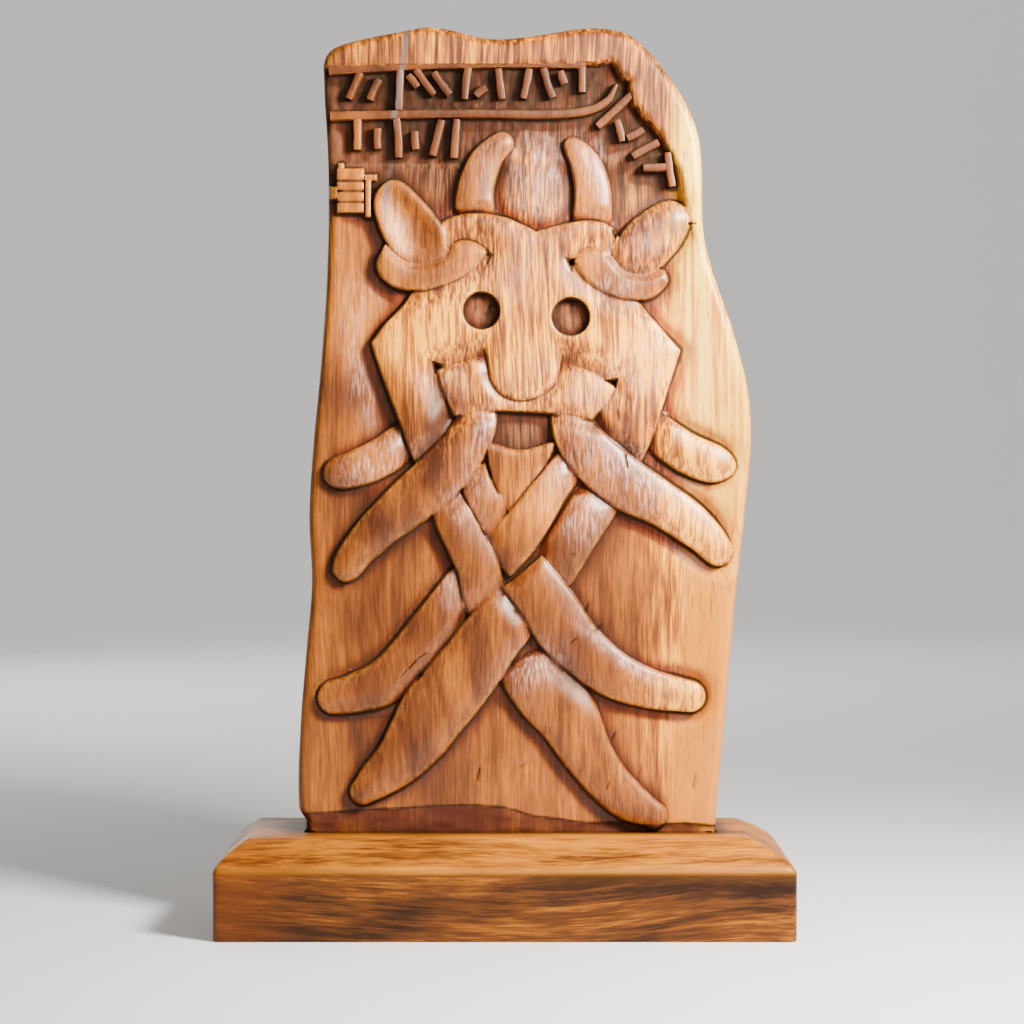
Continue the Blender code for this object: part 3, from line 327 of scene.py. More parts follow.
# Painted highlights, whitish sheen painted into the colour: x, z, half width, half height, lean, amount.
GLINTS = ((-48, 308, 4, 10, -15, 1.0), (58, 200, 7, 24, -57, 0.8), (-57, 208, 5, 11, 65, 0.8),
          (38, 338, 6, 14, 0, 0.6), (34, 238, 8, 5, 0, 0.6), (-22, 242, 6, 7, 0, 0.4),
          (14, 332, 12, 16, 0, 0.6), (10, 246, 10, 9, 0, 0.4), (60, 250, 15, 10, -40, 0.8),
          (46, 285, 12, 4, 0, 0.5), (-64, 248, 5, 22, -12, 0.5), (-60, 282, 8, 8, 0, 0.4),
          (20, 198, 5, 10, 40, 0.6), (35, 184, 7, 9, 35, 0.8), (-20, 186, 4, 9, -25, 0.5),
          (-14, 198, 4, 10, -12, 0.4), (12, 117, 10, 8, -40, 0.7), (52, 121, 2.5, 16, -52, 0.8),
          (-9, 222, 3, 9, 20, 0.7), (-24, 151, 5, 7, 0, 0.3), (90, 262, 8, 26, 0, 0.3),
          (-12, 340, 5, 12, 20, 0.3), (4, 290, 20, 14, 0, 0.25), (60, 305, 8, 10, 30, 0.3))


# ================================================================ plan curves
def smooth_run(points, step):
    """Catmull-Rom curve through the points, read about every step along it."""
    control = np.array(points, dtype=float)
    if len(control) == 2:
        count = max(1, round(float(np.linalg.norm(control[1, :2] - control[0, :2])) / step))
        share = np.linspace(0, 1, count + 1)[:, None]
        return control[0] + (control[1] - control[0]) * share
    held = np.vstack([2 * control[0] - control[1], control, 2 * control[-1] - control[-2]])
    curve = [control[:1]]
    for index in range(1, len(held) - 2):
        a, b, c, d = held[index - 1:index + 3]
        span = float(np.linalg.norm((c - b)[:2]))
        count = max(1, round(span / step))
        t = (np.arange(1, count + 1) / count)[:, None]
        tangent_b = (c - a) * span / max(1e-6, float(np.linalg.norm((c - a)[:2])))
        tangent_c = (d - b) * span / max(1e-6, float(np.linalg.norm((d - b)[:2])))
        curve.append((2 * t**3 - 3 * t**2 + 1) * b + (t**3 - 2 * t**2 + t) * tangent_b
                     + (3 * t**2 - 2 * t**3) * c + (t**3 - t**2) * tangent_c)
    return np.vstack(curve)


def anticlockwise(loop):
    following = np.roll(loop, -1, axis=0)
    area = float(np.sum(loop[:, 0] * following[:, 1] - following[:, 0] * loop[:, 1]))
    return loop if area > 0 else loop[::-1]


def closed_outline(runs, step):
    """Loop of points along the runs, anticlockwise as seen from the front."""
    return anticlockwise(np.vstack([smooth_run(run, step)[:-1] for run in runs]))


def ribbon_outline(middle, step, round_end=False):
    """Loop around a ribbon given by x, z and width down its middle."""
    line = smooth_run(middle, step)
    along = np.gradient(line[:, :2], axis=0)
    along /= np.linalg.norm(along, axis=1)[:, None]
    across = np.stack([-along[:, 1], along[:, 0]], axis=1)
    half = line[:, 2:3] / 2
    pieces = [line[:, :2] + across * half]
    if round_end:
        turns = max(4, round(math.pi * float(half[-1, 0]) / step))
        angle = (np.arange(1, turns) * math.pi / turns)[:, None]
        pieces.append(line[-1, :2] + half[-1] * (across[-1] * np.cos(angle) + along[-1] * np.sin(angle)))
    pieces.append((line[:, :2] - across * half)[::-1])
    return anticlockwise(np.vstack(pieces))


def stroke_ends(x, z, length, lean):
    """Lower and upper end of a straight stroke."""
    half = np.array([math.sin(math.radians(lean)), math.cos(math.radians(lean))]) * length / 2
    return np.array([x, z]) - half, np.array([x, z]) + half


def box_outline(x_from, x_to, z_from, z_to):
    """Corners of an upright rectangle, anticlockwise."""
    return np.array([(x_from, z_from), (x_to, z_from), (x_to, z_to), (x_from, z_to)], dtype=float)


def circle_outline(x, z, radius, step):
    turn = np.arange(max(16, round(2 * math.pi * radius / step)))
    turn = turn * 2 * math.pi / len(turn)
    return np.stack([x + radius * np.cos(turn), z + radius * np.sin(turn)], axis=1)


def dense(loop, step):
    """The same loop with its straight sides read about every step."""
    return np.vstack([smooth_run((a, b), step)[:-1] for a, b in zip(loop, np.roll(loop, -1, axis=0))])


def signed_distance(points, loop, reach=16.0):
    """Distance of each point from the loop, positive inside it, true up to the reach and never below -reach."""
    result = np.full(len(points), -reach)
    near = np.flatnonzero(np.all((points > loop.min(axis=0) - reach) & (points < loop.max(axis=0) + reach), axis=1))
    if len(near) == 0:
        return result
    edge = np.roll(loop, -1, axis=0) - loop
    length = np.maximum((edge**2).sum(axis=1), 1e-12)
    slant = np.where(edge[:, 1] == 0, 0, edge[:, 0] / np.where(edge[:, 1] == 0, 1, edge[:, 1]))
    lowest, highest = loop[:, 1] + np.minimum(edge[:, 1], 0), loop[:, 1] + np.maximum(edge[:, 1], 0)
    near = near[np.argsort(points[near, 1], kind="stable")]
    for block in np.array_split(near, 1 + len(near) * len(loop) // 200000):
        beside = (highest > points[block[0], 1] - reach) & (lowest < points[block[-1], 1] + reach)
        (start_x, start_z), (run_x, run_z) = loop[beside].T, edge[beside].T
        offset_x = points[block, 0][:, None] - start_x
        offset_z = points[block, 1][:, None] - start_z
        share = np.clip((offset_x * run_x + offset_z * run_z) / length[beside], 0, 1)
        gap = (offset_x - share * run_x)**2 + (offset_z - share * run_z)**2
        spans = (offset_z < 0) != (offset_z < run_z)
        crossed = spans & (offset_x < offset_z * slant[beside])
        side = np.where(crossed.sum(axis=1) % 2 == 1, 1.0, -1.0)
        result[block] = np.maximum(np.sqrt(gap.min(axis=1)) * side, -reach)
    return result


def ease(share):
    """Smooth step from 0 to 1."""
    held = np.clip(share, 0, 1)
    return held * held * (3 - 2 * held)


def fade(place, start, run):
    """0 up to the start and 1 once a run further on, smoothly."""
    return ease((place - start) / run)


def roll_off(inside, width):
    """1 at an edge and outside it, 0 once that width inside, along a round curve."""
    return (1 - np.clip(inside / width, 0, 1))**2


def joined(*rings):
    """An edge or a face for each place along the rings, with a corner on every one of them."""
    return np.stack(rings, axis=1).tolist()


def after(ring):
    """The ring from its second place on, closed by its first."""
    return np.roll(ring, -1)


def soft_noise(points, size, seed):
    """Smooth noise between -1 and 1 with lumps of about that size."""
    lattice = np.random.RandomState(seed).uniform(-1, 1, (97, 97))
    place = points / np.array(size) + 1000
    cell = np.floor(place).astype(int)
    share = ease(place - cell)
    a = cell % 97
    b = (cell + 1) % 97
    low = lattice[a[:, 0], a[:, 1]] * (1 - share[:, 0]) + lattice[b[:, 0], a[:, 1]] * share[:, 0]
    high = lattice[a[:, 0], b[:, 1]] * (1 - share[:, 0]) + lattice[b[:, 0], b[:, 1]] * share[:, 0]
    return low * (1 - share[:, 1]) + high * share[:, 1]


def uneven(points, height, lumps, seed):
    return height * soft_noise(points, lumps, seed)


def gouge_scallops(points, size, seed):
    """Overlapping shallow cuts of a gouge: 0 in the middle of a cut, 1 on the ridges between them."""
    place = points / np.array(size)
    cell = np.floor(place).astype(int)
    draw = np.random.RandomState(seed).uniform(0.1, 0.9, (61, 61, 2))
    nearest = np.full(len(points), 9.0)
    for across in (-1, 0, 1):
        for up in (-1, 0, 1):
            home = cell + (across, up)
            centre = home + draw[home[:, 0] % 61, home[:, 1] % 61]
            nearest = np.minimum(nearest, ((place - centre)**2).sum(axis=1))
    return np.clip(nearest, 0, 1)


def raw_share(points, level, shown):
    """1 on the dull, unpolished ground of the writing field, the eyes and the mouth, whose colour is also painted dark
    as shade in these recesses.
    """
    x, z = points[:, 0], points[:, 1]
    low = fade(-level, 3.0, 1.0)
    top = fade(z, 316, 18) * (shown == -1)
    mouth = (x > -8) * (x < 24) * (z > 205) * (z < 236) * (shown == -1)
    eyes = np.zeros(len(points))
    for eye_x, eye_z, radius in EYES:
        eyes = np.maximum(eyes, (np.hypot(x - eye_x, z - eye_z) < radius + 0.5) * 1.0)
    return low * np.clip(top + mouth + eyes, 0, 1)


def mark_share(points):
    """Depth and darkness that the nicks, checks and specks give each point."""
    depth = np.zeros(len(points))
    dark = np.zeros(len(points))
    for x, z, half_length, half_width, lean, deep, darkness in MARKS:
        run = np.array([math.sin(math.radians(lean)), math.cos(math.radians(lean))])
        offset = points - (x, z)
        along = np.abs(offset @ run)
        across = np.abs(offset @ np.array([run[1], -run[0]]))
        gap = np.hypot(np.maximum(along - half_length, 0), across) / half_width
        depth = np.maximum(depth, deep * np.clip(1 - gap, 0, 1))
        dark = np.maximum(dark, darkness * ease(1.35 - gap))
    return depth, dark


# ================================================================ the carved surface
class Carving:
    """Loops of every raised form and cut at one fineness, and the surface that they make."""

    def __init__(self, step, sizes, with_bars):
        self.gouge_depth = sizes.gouge_depth / MM
        self.bevel = sizes.worn_edge / MM
        self.front_round = sizes.front_round / MM
        self.slab = closed_outline(OUTLINE, step)
        self.forms = {}
        for name, (shape, crown, width, drop) in FORMS.items():
            if np.ndim(shape[0]) == 1:
                loop = ribbon_outline(shape, step, name in ROUND_ENDED)
            else:
                loop = closed_outline(shape, step)
            self.forms[name] = (loop, crown, width, drop)
        self.blocks = [(dense(box_outline(*box), step), TAB_LEVEL) for box in (TAB_BODY,) + TAB_PIECES]
        if with_bars:
            for band in BANDS:
                self.blocks.append((ribbon_outline(band, step), BAND_LEVEL))
            for x, z, length, lean in STROKES:
                low, top = stroke_ends(x, z, length, lean)
                middle = ((*low, STROKE_WIDTH), (*top, STROKE_WIDTH))
                self.blocks.append((ribbon_outline(middle, step), BAND_LEVEL))
        self.cuts = [(circle_outline(x, z, radius, step), EYE_LEVEL) for x, z, radius in EYES]
        self.cuts += [(dense(anticlockwise(np.array(pit)), step), PIT_LEVEL) for pit in PITS]
        for z in TAB_GROOVES:
            groove = box_outline(TAB_BODY[0] - 0.2, TAB_BODY[1] + 0.2, z - 0.45, z + 0.45)
            self.cuts.append((dense(groove, step), TAB_LEVEL - 1.3))

    def ground(self, points, outline_distance):
        """The lowered ground round the mask, the writing field and the uncarved rim."""
        x, z = points[:, 0], points[:, 1]
        level = np.full(len(points), GROUND_LEVEL)
        at_right = fade(x, 66, 30) * fade(z, 60, 40)
        level += SWELL_RISE * at_right * ease(1 - outline_distance / SWELL_RUN)
        level += (FIELD_LEVEL - GROUND_LEVEL) * fade(z, 334, 10)
        step_from, step_to, step_z, step_rise = FIELD_STEP
        wave = step_z + uneven(points, *STEP_WAVER)
        under_step = (x > step_from) & (x < step_to) & (z < wave) & (z > wave - 22)
        level += step_rise * under_step * (1 - (wave - z) / 22)
        dome_x, dome_z, half_width, half_height, rise = CROWN_DOME
        across = ((x - dome_x) / half_width)**2 + ((z - dome_z) / half_height)**2
        level += rise * np.clip(1 - across, 0, 1)
        level += sum(uneven(points, *waver) for waver in GROUND_WAVERS)
        rough = fade(z, 338, 6) * self.gouge_depth
        level += rough * (gouge_scallops(points, (4.2, 6.0), 3) - 0.4)
        level = np.where(z < strip_top(points), STRIP_LEVEL + uneven(points, *STRIP_WAVER), level)
        rough_end = fade(x, 40, 12)
        wobble = (0.4 + 1.0 * rough_end) * soft_noise(points, (4, 6), 21)
        ramp_width = 2.2 + 2.6 * rough_end
        share = ease(1 + (signed_distance(points, rim_loop()) + wobble) / ramp_width) * fade(z, 300, 24)
        return level * (1 - share)

    def level(self, points):
        """Level of the finished front at each point, the number of the form that shows there, and a painted shade line.

        That line is 1 along the foot of every carved edge, where shade falls in the corner, and fades within a
        millimetre.
        """
        outline_distance = signed_distance(points, self.slab, 40.0)
        level = self.ground(points, outline_distance)
        shown = np.full(len(points), -1)
        inward = {name: signed_distance(points, form[0]) for name, form in self.forms.items()}
        level += beading(points, inward)
        nearest = np.max(list(inward.values()), axis=0)
        at_right = fade(points[:, 0], 60, 26) * fade(points[:, 1], 60, 30)
        level -= MOAT_DEPTH * at_right * ease(1 + nearest / MOAT_RUN)
        hand = uneven(points, *CROWN_WAVER)
        tops = []
        for index, (name, (_, crown, width, drop)) in enumerate(self.forms.items()):
            inside = inward[name]
            own = crown - drop * roll_off(inside, width) + hand
            own = own - BEVEL_DROP * self.bevel * roll_off(inside, self.bevel)
            if name in LEANS:
                from_x, from_z, right, up = LEANS[name]
                own = own + np.clip((points[:, 0] - from_x) * right + (points[:, 1] - from_z) * up, -1.5, 1.0)
            if name == "left_ear":
                own = own - EAR_DISH * ease(inside / EAR_DISH_RUN)
            for other, depth, run in LACING.get(name, ()):
                own = own - depth * ease(1 + inward[other] / run)
            tops.append((own, inside))
            own = own + np.minimum(inside, 0) * WALL_SLOPE
            shown = np.where(own > level, index, shown)
            level = np.maximum(level, own)
        for loop, top in self.blocks:
            inside = signed_distance(points, loop)
            tops.append((np.full(len(points), top), inside))
            own = top - BLOCK_DROP * roll_off(inside, BLOCK_ROLL) + np.minimum(inside, 0) * WALL_SLOPE
            shown = np.where(own > level, len(self.forms), shown)
            level = np.maximum(level, own)
        for loop, floor in self.cuts:
            inside = signed_distance(points, loop)
            rough = floor + uneven(points, *CUT_WAVER)
            cut = np.minimum(level, np.maximum(rough, level - inside * WALL_SLOPE))
            lip = LIP_DROP * roll_off(-inside, LIP_ROLL)
            level = np.where(inside > 0, cut - 0.35, level - lip)
        # Painted shade: a dark line where each form's wall meets the surface below it.
        foot_shade_line = np.zeros(len(points))
        for own, inside in tops:
            foot = np.minimum((own - level) / WALL_SLOPE, 1.1)
            close = 1 - np.clip((np.abs(inside + foot) - 0.3) / FOOT_SHADE_WIDTH, 0, 1)
            foot_shade_line = np.maximum(foot_shade_line, close * fade(own - level, 0.10, 0.45) * (inside < 0.05))
        level = level - mark_share(points)[0]
        past = np.clip(self.front_round - outline_distance, 0, self.front_round)
        level = level - (self.front_round - np.sqrt(self.front_round**2 - past**2))
        level = np.where(points[:, 1] < FOOT_TOP, np.minimum(level, FOOT_LEVEL), level)
        return level, shown, foot_shade_line


def beading(points, inward):
    """Small rough beads left along the outside of the two left tails."""
    total = np.zeros(len(points))
    beads = (("far_left_tail", -0.7, -3.0, 0.75), ("lower_left_tail", -1.2, -2.6, 0.5))
    for name, reach_from, reach_to, amount in beads:
        inside = inward[name]
        middle = (reach_from + reach_to) / 2
        share = 1 - np.clip(np.abs(inside - middle) / abs(middle - reach_to), 0, 1)
        lumps = np.abs(soft_noise(points, (1.6, 1.6), 51)) + 0.3
        left = fade(-points[:, 0], 20, 12)
        total += amount * share * lumps * left
    return total


def patches(points, table):
    """Sum of the table's soft patches: x, z, half width, half height, lean in degrees, amount."""
    total = np.zeros(len(points))
    for x, z, half_width, half_height, lean, amount in table:
        turn = math.radians(lean)
        right, up = points[:, 0] - x, points[:, 1] - z
        along = (up * math.cos(turn) + right * math.sin(turn)) / half_height
        across = (right * math.cos(turn) - up * math.sin(turn)) / half_width
        total += amount * np.exp(-(along**2 + across**2) * 0.7)
    return total


def grain_share(points, shown):
    """How clearly the grain's fine streaks show: on the mask, the rim and the right edge more than elsewhere."""
    x, z = points[:, 0], points[:, 1]
    share = 0.32 + 0.68 * fade(z, 180, 60) * fade(x, -62, 34) + 0.6 * fade(x, 52, 26)
    share = np.maximum(share, 0.9 * fade(z, 376, 12))
    names = list(FORMS)
    for name in SMOOTH_FORMS:
        share = np.where(shown == names.index(name), 0.38, share)
    return np.clip(share, 0, 1)


def rim_loop():
    """Loop round the uncarved rim above and to the right of the writing field."""
    return anticlockwise(np.vstack([RECESS_EDGE, [(130, 300), (130, 430), (-130, 430), (-130, 381.5)]]))


def strip_top(points):
    """Wavy upper line of the rough strip along the foot."""
    strip_x, strip_z = np.array(FOOT_STRIP).T
    return np.interp(points[:, 0], strip_x, strip_z) + uneven(points, *STRIP_TOP_WAVER)


def loop_normals(loop, smoothing=0):
    """Unit directions that point into the loop at its points, averaged over that many neighbours."""
    along = np.roll(loop, -1, axis=0) - np.roll(loop, 1, axis=0)
    along /= np.maximum(np.linalg.norm(along, axis=1), 1e-9)[:, None]
    inward = np.stack([-along[:, 1], along[:, 0]], axis=1)
    for _ in range(smoothing):
        inward = inward + np.roll(inward, 1, axis=0) + np.roll(inward, -1, axis=0)
        inward /= np.maximum(np.linalg.norm(inward, axis=1), 1e-9)[:, None]
    return inward


class Plan:
    """Points and edges that the front's triangles must follow."""

    def __init__(self):
        self.points = []
        self.edges = []
        self.count = 0

    def add_line(self, points, keep=None, closed=True):
        keep = np.ones(len(points), dtype=bool) if keep is None else keep
        numbers = np.where(keep, self.count + np.cumsum(keep) - 1, -1)
        self.points.append(points[keep])
        self.count += int(keep.sum())
        following = np.roll(numbers, -1)
        if not closed:
            following[-1] = -1
        joined = (numbers >= 0) & (following >= 0)
        self.edges += list(zip(numbers[joined].tolist(), following[joined].tolist()))

    def add_dots(self, points):
        self.points.append(points)
        self.count += len(points)


def clear_of(points, lines, clearance):
    """True where a point keeps about that clearance from all of the lines' points."""
    wide = 100000
    taken = {0}
    home = np.floor(lines / clearance).astype(int) + 5000
    for across in (-1, 0, 1):
        for up in (-1, 0, 1):
            taken.update(((home[:, 0] + across) * wide + home[:, 1] + up).tolist())
    own = np.floor(points / clearance).astype(int) + 5000
    return ~np.isin(own[:, 0] * wide + own[:, 1], np.fromiter(taken, np.int64, len(taken)))


def front_plan(carving, grid_step):
    """Lines along every carved edge and its foot, and an even grid between them."""
    plan = Plan()
    slab = carving.slab
    plan.add_line(slab)
    inward = loop_normals(slab, 3)
    for share in (0.06, 0.2, 0.42, 0.7, 1.0):
        inset = carving.front_round * share
        ring = slab + inward * inset
        inside = signed_distance(ring, slab) > inset * 0.95
        plan.add_line(ring, inside & (ring[:, 1] > FOOT_TOP + 1.5))
    for z in (FOOT_TOP - 0.1, FOOT_TOP + 0.1):
        plan.add_line(np.array([(x, z) for x in np.linspace(-88, 93.2, 150)]), closed=False)
    # Every carved edge, with lines at those distances inside (+) and outside (-) it, and how far they may stray.
    carved = [(form[0], (0.0, carving.bevel * 0.5, carving.bevel, -0.95), 0.12) for form in carving.forms.values()]
    carved += [(loop, (0.0, 0.45, -0.65), 0.25) for loop, _ in carving.blocks]
    carved += [(loop, (0.0, 0.9, -0.7) if len(loop) > 40 else (0.0, -0.6), 0.25) for loop, _ in carving.cuts]
    for index, (loop, shifts, stray) in enumerate(carved):
        direction = loop_normals(loop)
        showing = True
        if index < len(carving.forms):
            showing = carving.level(loop + direction * 0.3)[1] == index
        for shift in shifts:
            moved = loop + direction * shift
            true_to_loop = np.abs(signed_distance(moved, loop) - shift) < stray
            plan.add_line(moved, showing & true_to_loop & (signed_distance(moved, slab) > 0.6))
    for x, z, half_length, half_width, lean, _, _ in MARKS:
        low, top = stroke_ends(x, z, 2 * half_length, lean)
        plan.add_line(smooth_run((low, top), 0.5), closed=False)
        plan.add_line(ribbon_outline(((*low, 2 * half_width), (*top, 2 * half_width)), 0.6, True))
    rows = np.arange(FOOT_TOP + 1.0, 399, grid_step * 0.866)
    columns = np.arange(-93, 110, grid_step)
    grid = np.array([(x + (grid_step / 2 if row % 2 else 0), z) for row, z in enumerate(rows) for x in columns])
    grid = grid[signed_distance(grid, slab) > carving.front_round + 0.4]
    plan.add_dots(grid[clear_of(grid, np.vstack(plan.points), grid_step * 0.42)])
    return plan


def cavity_map(carving, step):
    """Level on an even grid averaged round each place, closely and widely, for the depth of every corner."""
    x = np.arange(-100, 116, step)
    z = np.arange(30, 408, step)
    grid = np.stack(np.meshgrid(x, z, indexing="ij"), axis=-1).reshape(-1, 2)
    level = carving.level(grid)[0].reshape(len(x), len(z))

    def blurred(radius):
        reach = max(1, round(radius / step))
        span = 2 * reach + 1
        result = level
        for _ in range(2):
            for axis in (0, 1):
                padding = [(0, 0), (0, 0)]
                padding[axis] = (reach + 1, reach)
                total = np.cumsum(np.pad(result, padding, mode="edge"), axis=axis)
                count = total.shape[axis]
                result = (np.take(total, range(span, count), axis)
                          - np.take(total, range(0, count - span), axis)) / span
        return result

    return (x[0], z[0], step), blurred(1.2), blurred(5.5)


def read_map(field, origin, points):
    """Value of a gridded field between its grid places."""
    from_x, from_z, step = origin
    place = np.stack([(points[:, 0] - from_x) / step, (points[:, 1] - from_z) / step], axis=1)
    place = np.clip(place, 0, np.array(field.shape) - 1.001)
    i, j = place.astype(int).T
    share = place - np.floor(place)
    low = field[i, j] * (1 - share[:, 0]) + field[i + 1, j] * share[:, 0]
    high = field[i, j + 1] * (1 - share[:, 0]) + field[i + 1, j + 1] * share[:, 0]
    return low * (1 - share[:, 1]) + high * share[:, 1]


def triangles_in(points, edges, loop):
    """Triangles over the points, kept where they lie inside the loop, and the points they stand on."""
    vectors = [Vector(point) for point in points.tolist()]
    out, _, faces, *_ = delaunay_2d_cdt(vectors, edges, [], 0, 1e-4, False)
    flat = np.array([tuple(point) for point in out])
    faces = np.array(faces)
    faces = faces[signed_distance(flat[faces].mean(axis=1), loop) > 0]
    used = np.unique(faces)
    renumber = np.full(len(flat), -1)
    renumber[used] = np.arange(len(used))
    flat, faces = flat[used], renumber[faces]
    a, b, c = (flat[faces[:, corner]] for corner in range(3))
    area = (b[:, 0] - a[:, 0]) * (c[:, 1] - a[:, 1]) - (c[:, 0] - a[:, 0]) * (b[:, 1] - a[:, 1])
    faces[area < 0] = faces[area < 0][:, ::-1]
    return flat, faces


def rim_of(faces):
    """Numbers of the points round the outside of the triangles, in the triangles' own direction."""
    sides = np.vstack([faces[:, (0, 1)], faces[:, (1, 2)], faces[:, (2, 0)]])
    wide = int(faces.max()) + 1
    forward = sides[:, 0] * wide + sides[:, 1]
    backward = sides[:, 1] * wide + sides[:, 0]
    free = sides[~np.isin(forward, backward)]
    following = dict(free.tolist())
    if len(following) != len(free):
        raise RuntimeError("the slab's outline touches itself")
    start = int(free[0, 0])
    loop = [start]
    while following[loop[-1]] != start:
        loop.append(following[loop[-1]])
    if len(loop) != len(free):
        raise RuntimeError("the slab's outline isn't one loop")
    return np.array(loop)


def carved_mesh(sizes):
    """The slab: its carved front, its sides and its plain sawn back, as one closed mesh."""
    line_step = sizes.line_step / MM
    grid_step = sizes.grid_step / MM
    carving = Carving(line_step, sizes, False)
    plan = front_plan(carving, grid_step)
    flat, faces = triangles_in(np.vstack(plan.points), plan.edges, carving.slab)
    level, shown, foot_shade_line = carving.level(flat)
    origin, near_map, wide_map = cavity_map(Carving(2.0, sizes, True), 1.0)
    near = read_map(near_map, origin, flat)
    wide = read_map(wide_map, origin, flat)
    dark = mark_share(flat)[1]
    strip_edge = 1 - np.clip(np.abs(flat[:, 1] - strip_top(flat)) / 1.6, 0, 1)
    # Painted shade, with dark stain: darker the deeper a place lies below its close surroundings, and inside the pits
    # and grooves.
    deep = np.clip((near - level - 0.12) / 1.4, 0, 1)
    for loop, _ in carving.cuts[len(EYES):]:
        deep = np.maximum(deep, fade(signed_distance(flat, loop), -0.3, 0.4))
    # Painted shadow: a place that has higher forms towards the light is darkened as if it lay in their shadow.
    shadow_caster = np.max([read_map(near_map, origin, flat + TOWARDS_LIGHT * reach) for reach in (2.5, 4.5, 7.0)], axis=0)
    painted_shadow = np.clip((shadow_caster - level - 0.8) / 4.0, 0, 1)
    shadow_side = fade(shadow_caster - level, 0.2, 1.2)
    raw = raw_share(flat, level, shown)
    eye_middle = np.max([ease((radius - 1.5 - np.hypot(flat[:, 0] - x, flat[:, 1] - z)) / 2.5)
                         for x, z, radius in EYES], axis=0)
    soft_edge = fade(flat[:, 0], 36, 10) * ease(1 - np.abs(signed_distance(flat, rim_loop()) + 2.0) / 5.0)
    deep = deep * (1 - 0.55 * soft_edge)
    values = {
        # Painted shade and stain in the corners, stronger on the side away from the light.
        "crevice": np.maximum(deep * (0.7 + 0.3 * shadow_side), 0.7 * ease(strip_edge)),
        # Painted shade in the hollows round the forms, with gathered polish, and painted shadow on the side away from
        # the light; less in the middle of each eye.
        "hollow": np.clip((wide - level - 0.15) / 2.1 + (0.70 + 0.6 * raw) * painted_shadow, 0, 1) * (1 - 0.5 * eye_middle),
        # Convex edges, made paler as worn edges and as a painted highlight along them.
        "edge": np.clip((level - near - 0.12) / 1.0, 0, 1) * (1 - ease(strip_edge * 2)),
        "grain": grain_share(flat, shown),
        "mark": dark,
        # Painted shade line at each form's foot, darker on the side away from the light.
        "foot_shade_line": foot_shade_line * (0.5 + 0.5 * shadow_side),
        "strip": fade(strip_top(flat) - flat[:, 1], -0.6, 1.2),
        "raw": raw,
        "sap": np.where(shown == -1, 1.0, 0.12),
        "figured": np.where(shown == list(FORMS).index("lower_left_tail"), 1.0, 0.0),
        "tone": patches(flat, TONES),
        "glint": np.clip(patches(flat, GLINTS), 0, 1),
    }
    rim = rim_of(faces)
    front = np.stack([flat[:, 0], SLAB_FRONT - level, flat[:, 1]], axis=1)
    rows, all_faces = [front], faces.tolist()
    outline = flat[rim]
    inward = loop_normals(outline, 12)
    arris = sizes.back_round / MM
    side_from, side_to = front[rim, 1], SLAB_BACK - arris
    previous = rim
    count = len(flat)
    shares = [(share, 0.0, None) for share in (0.04, 0.2, 0.4, 0.6, 0.8, 1.0)]
    shares += [(1.0, arris * (1 - math.cos(turn)), side_to + arris * math.sin(turn))
               for turn in (0.35, 0.75, 1.15, math.pi / 2)]
    for share, inset, depth in shares:
        swell = 0.3 * math.sin(math.pi * share) * soft_noise(outline + 40, (18, 26), 61)
        place = outline + inward * (inset + swell[:, None] * 0.8)
        reached = side_from + (side_to - side_from) * share if depth is None else np.full(len(rim), depth)
        rows.append(np.stack([place[:, 0], reached, place[:, 1]], axis=1))
        ring = np.arange(count, count + len(rim))
        all_faces += joined(previous, ring, after(ring), after(previous))
        previous = ring
        count += len(rim)
    back_loop = rows[-1][:, [0, 2]]
    columns, levels = np.meshgrid(np.arange(-90, 108, 9.0), np.arange(38, 398, 9.0))
    grid = np.stack([columns.ravel(), levels.ravel()], axis=1)
    grid = grid[signed_distance(grid, back_loop) > 3.0]
    number = np.arange(len(back_loop))
    edges = joined(number, after(number))
    behind, back_faces = triangles_in(np.vstack([back_loop, grid]), edges, back_loop)
    if len(behind) != len(back_loop) + len(grid):
        raise RuntimeError("the slab's back outline crosses itself")
    inner = behind[len(back_loop):]
    rows.append(np.stack([inner[:, 0], np.full(len(inner), float(SLAB_BACK)), inner[:, 1]], axis=1))
    renumber = np.concatenate([previous, np.arange(count, count + len(inner))])
    all_faces += renumber[back_faces[:, ::-1]].tolist()
    points = np.vstack(rows) * MM
    filled = {}
    for key, value in values.items():
        rest = np.full(len(points) - len(flat), 0.75 if key == "sap" else 0.0)
        filled[key] = np.concatenate([value, rest])
    return points, all_faces, filled


def write_values(mesh, values):
    """Store named values at the mesh's points."""
    for key, value in values.items():
        layer = mesh.attributes.new(key, "FLOAT", "POINT")
        layer.data.foreach_set("value", value.astype(np.float32))


def placed(name, data):
    """Object at the origin of the scene for a mesh, a light or a camera."""
    piece = bpy.data.objects.new(name, data)
    bpy.context.scene.collection.objects.link(piece)
    return piece


def mesh_object(name, points, faces, values, material, sharp_angle):
    """Object at the origin from points, faces and named values at the points."""
    mesh = bpy.data.meshes.new(name)
    mesh.from_pydata(points.tolist(), [], faces)
    write_values(mesh, values)
    mesh.materials.append(material)
    mesh.shade_smooth()
    mesh.set_sharp_from_angle(angle=math.radians(sharp_angle))
    mesh.update()
    return placed(name, mesh)


# ================================================================ the plinth
SKIRT_TOP = PLINTH_TOP - 12.0
SHOULDER_RUN = {"left": 13.0, "right": 20.0, "front": 16.0, "back": 16.0}
SLOT_CLEARANCE = 0.5
SLOT_SIDES = (-89.5, 94.5)


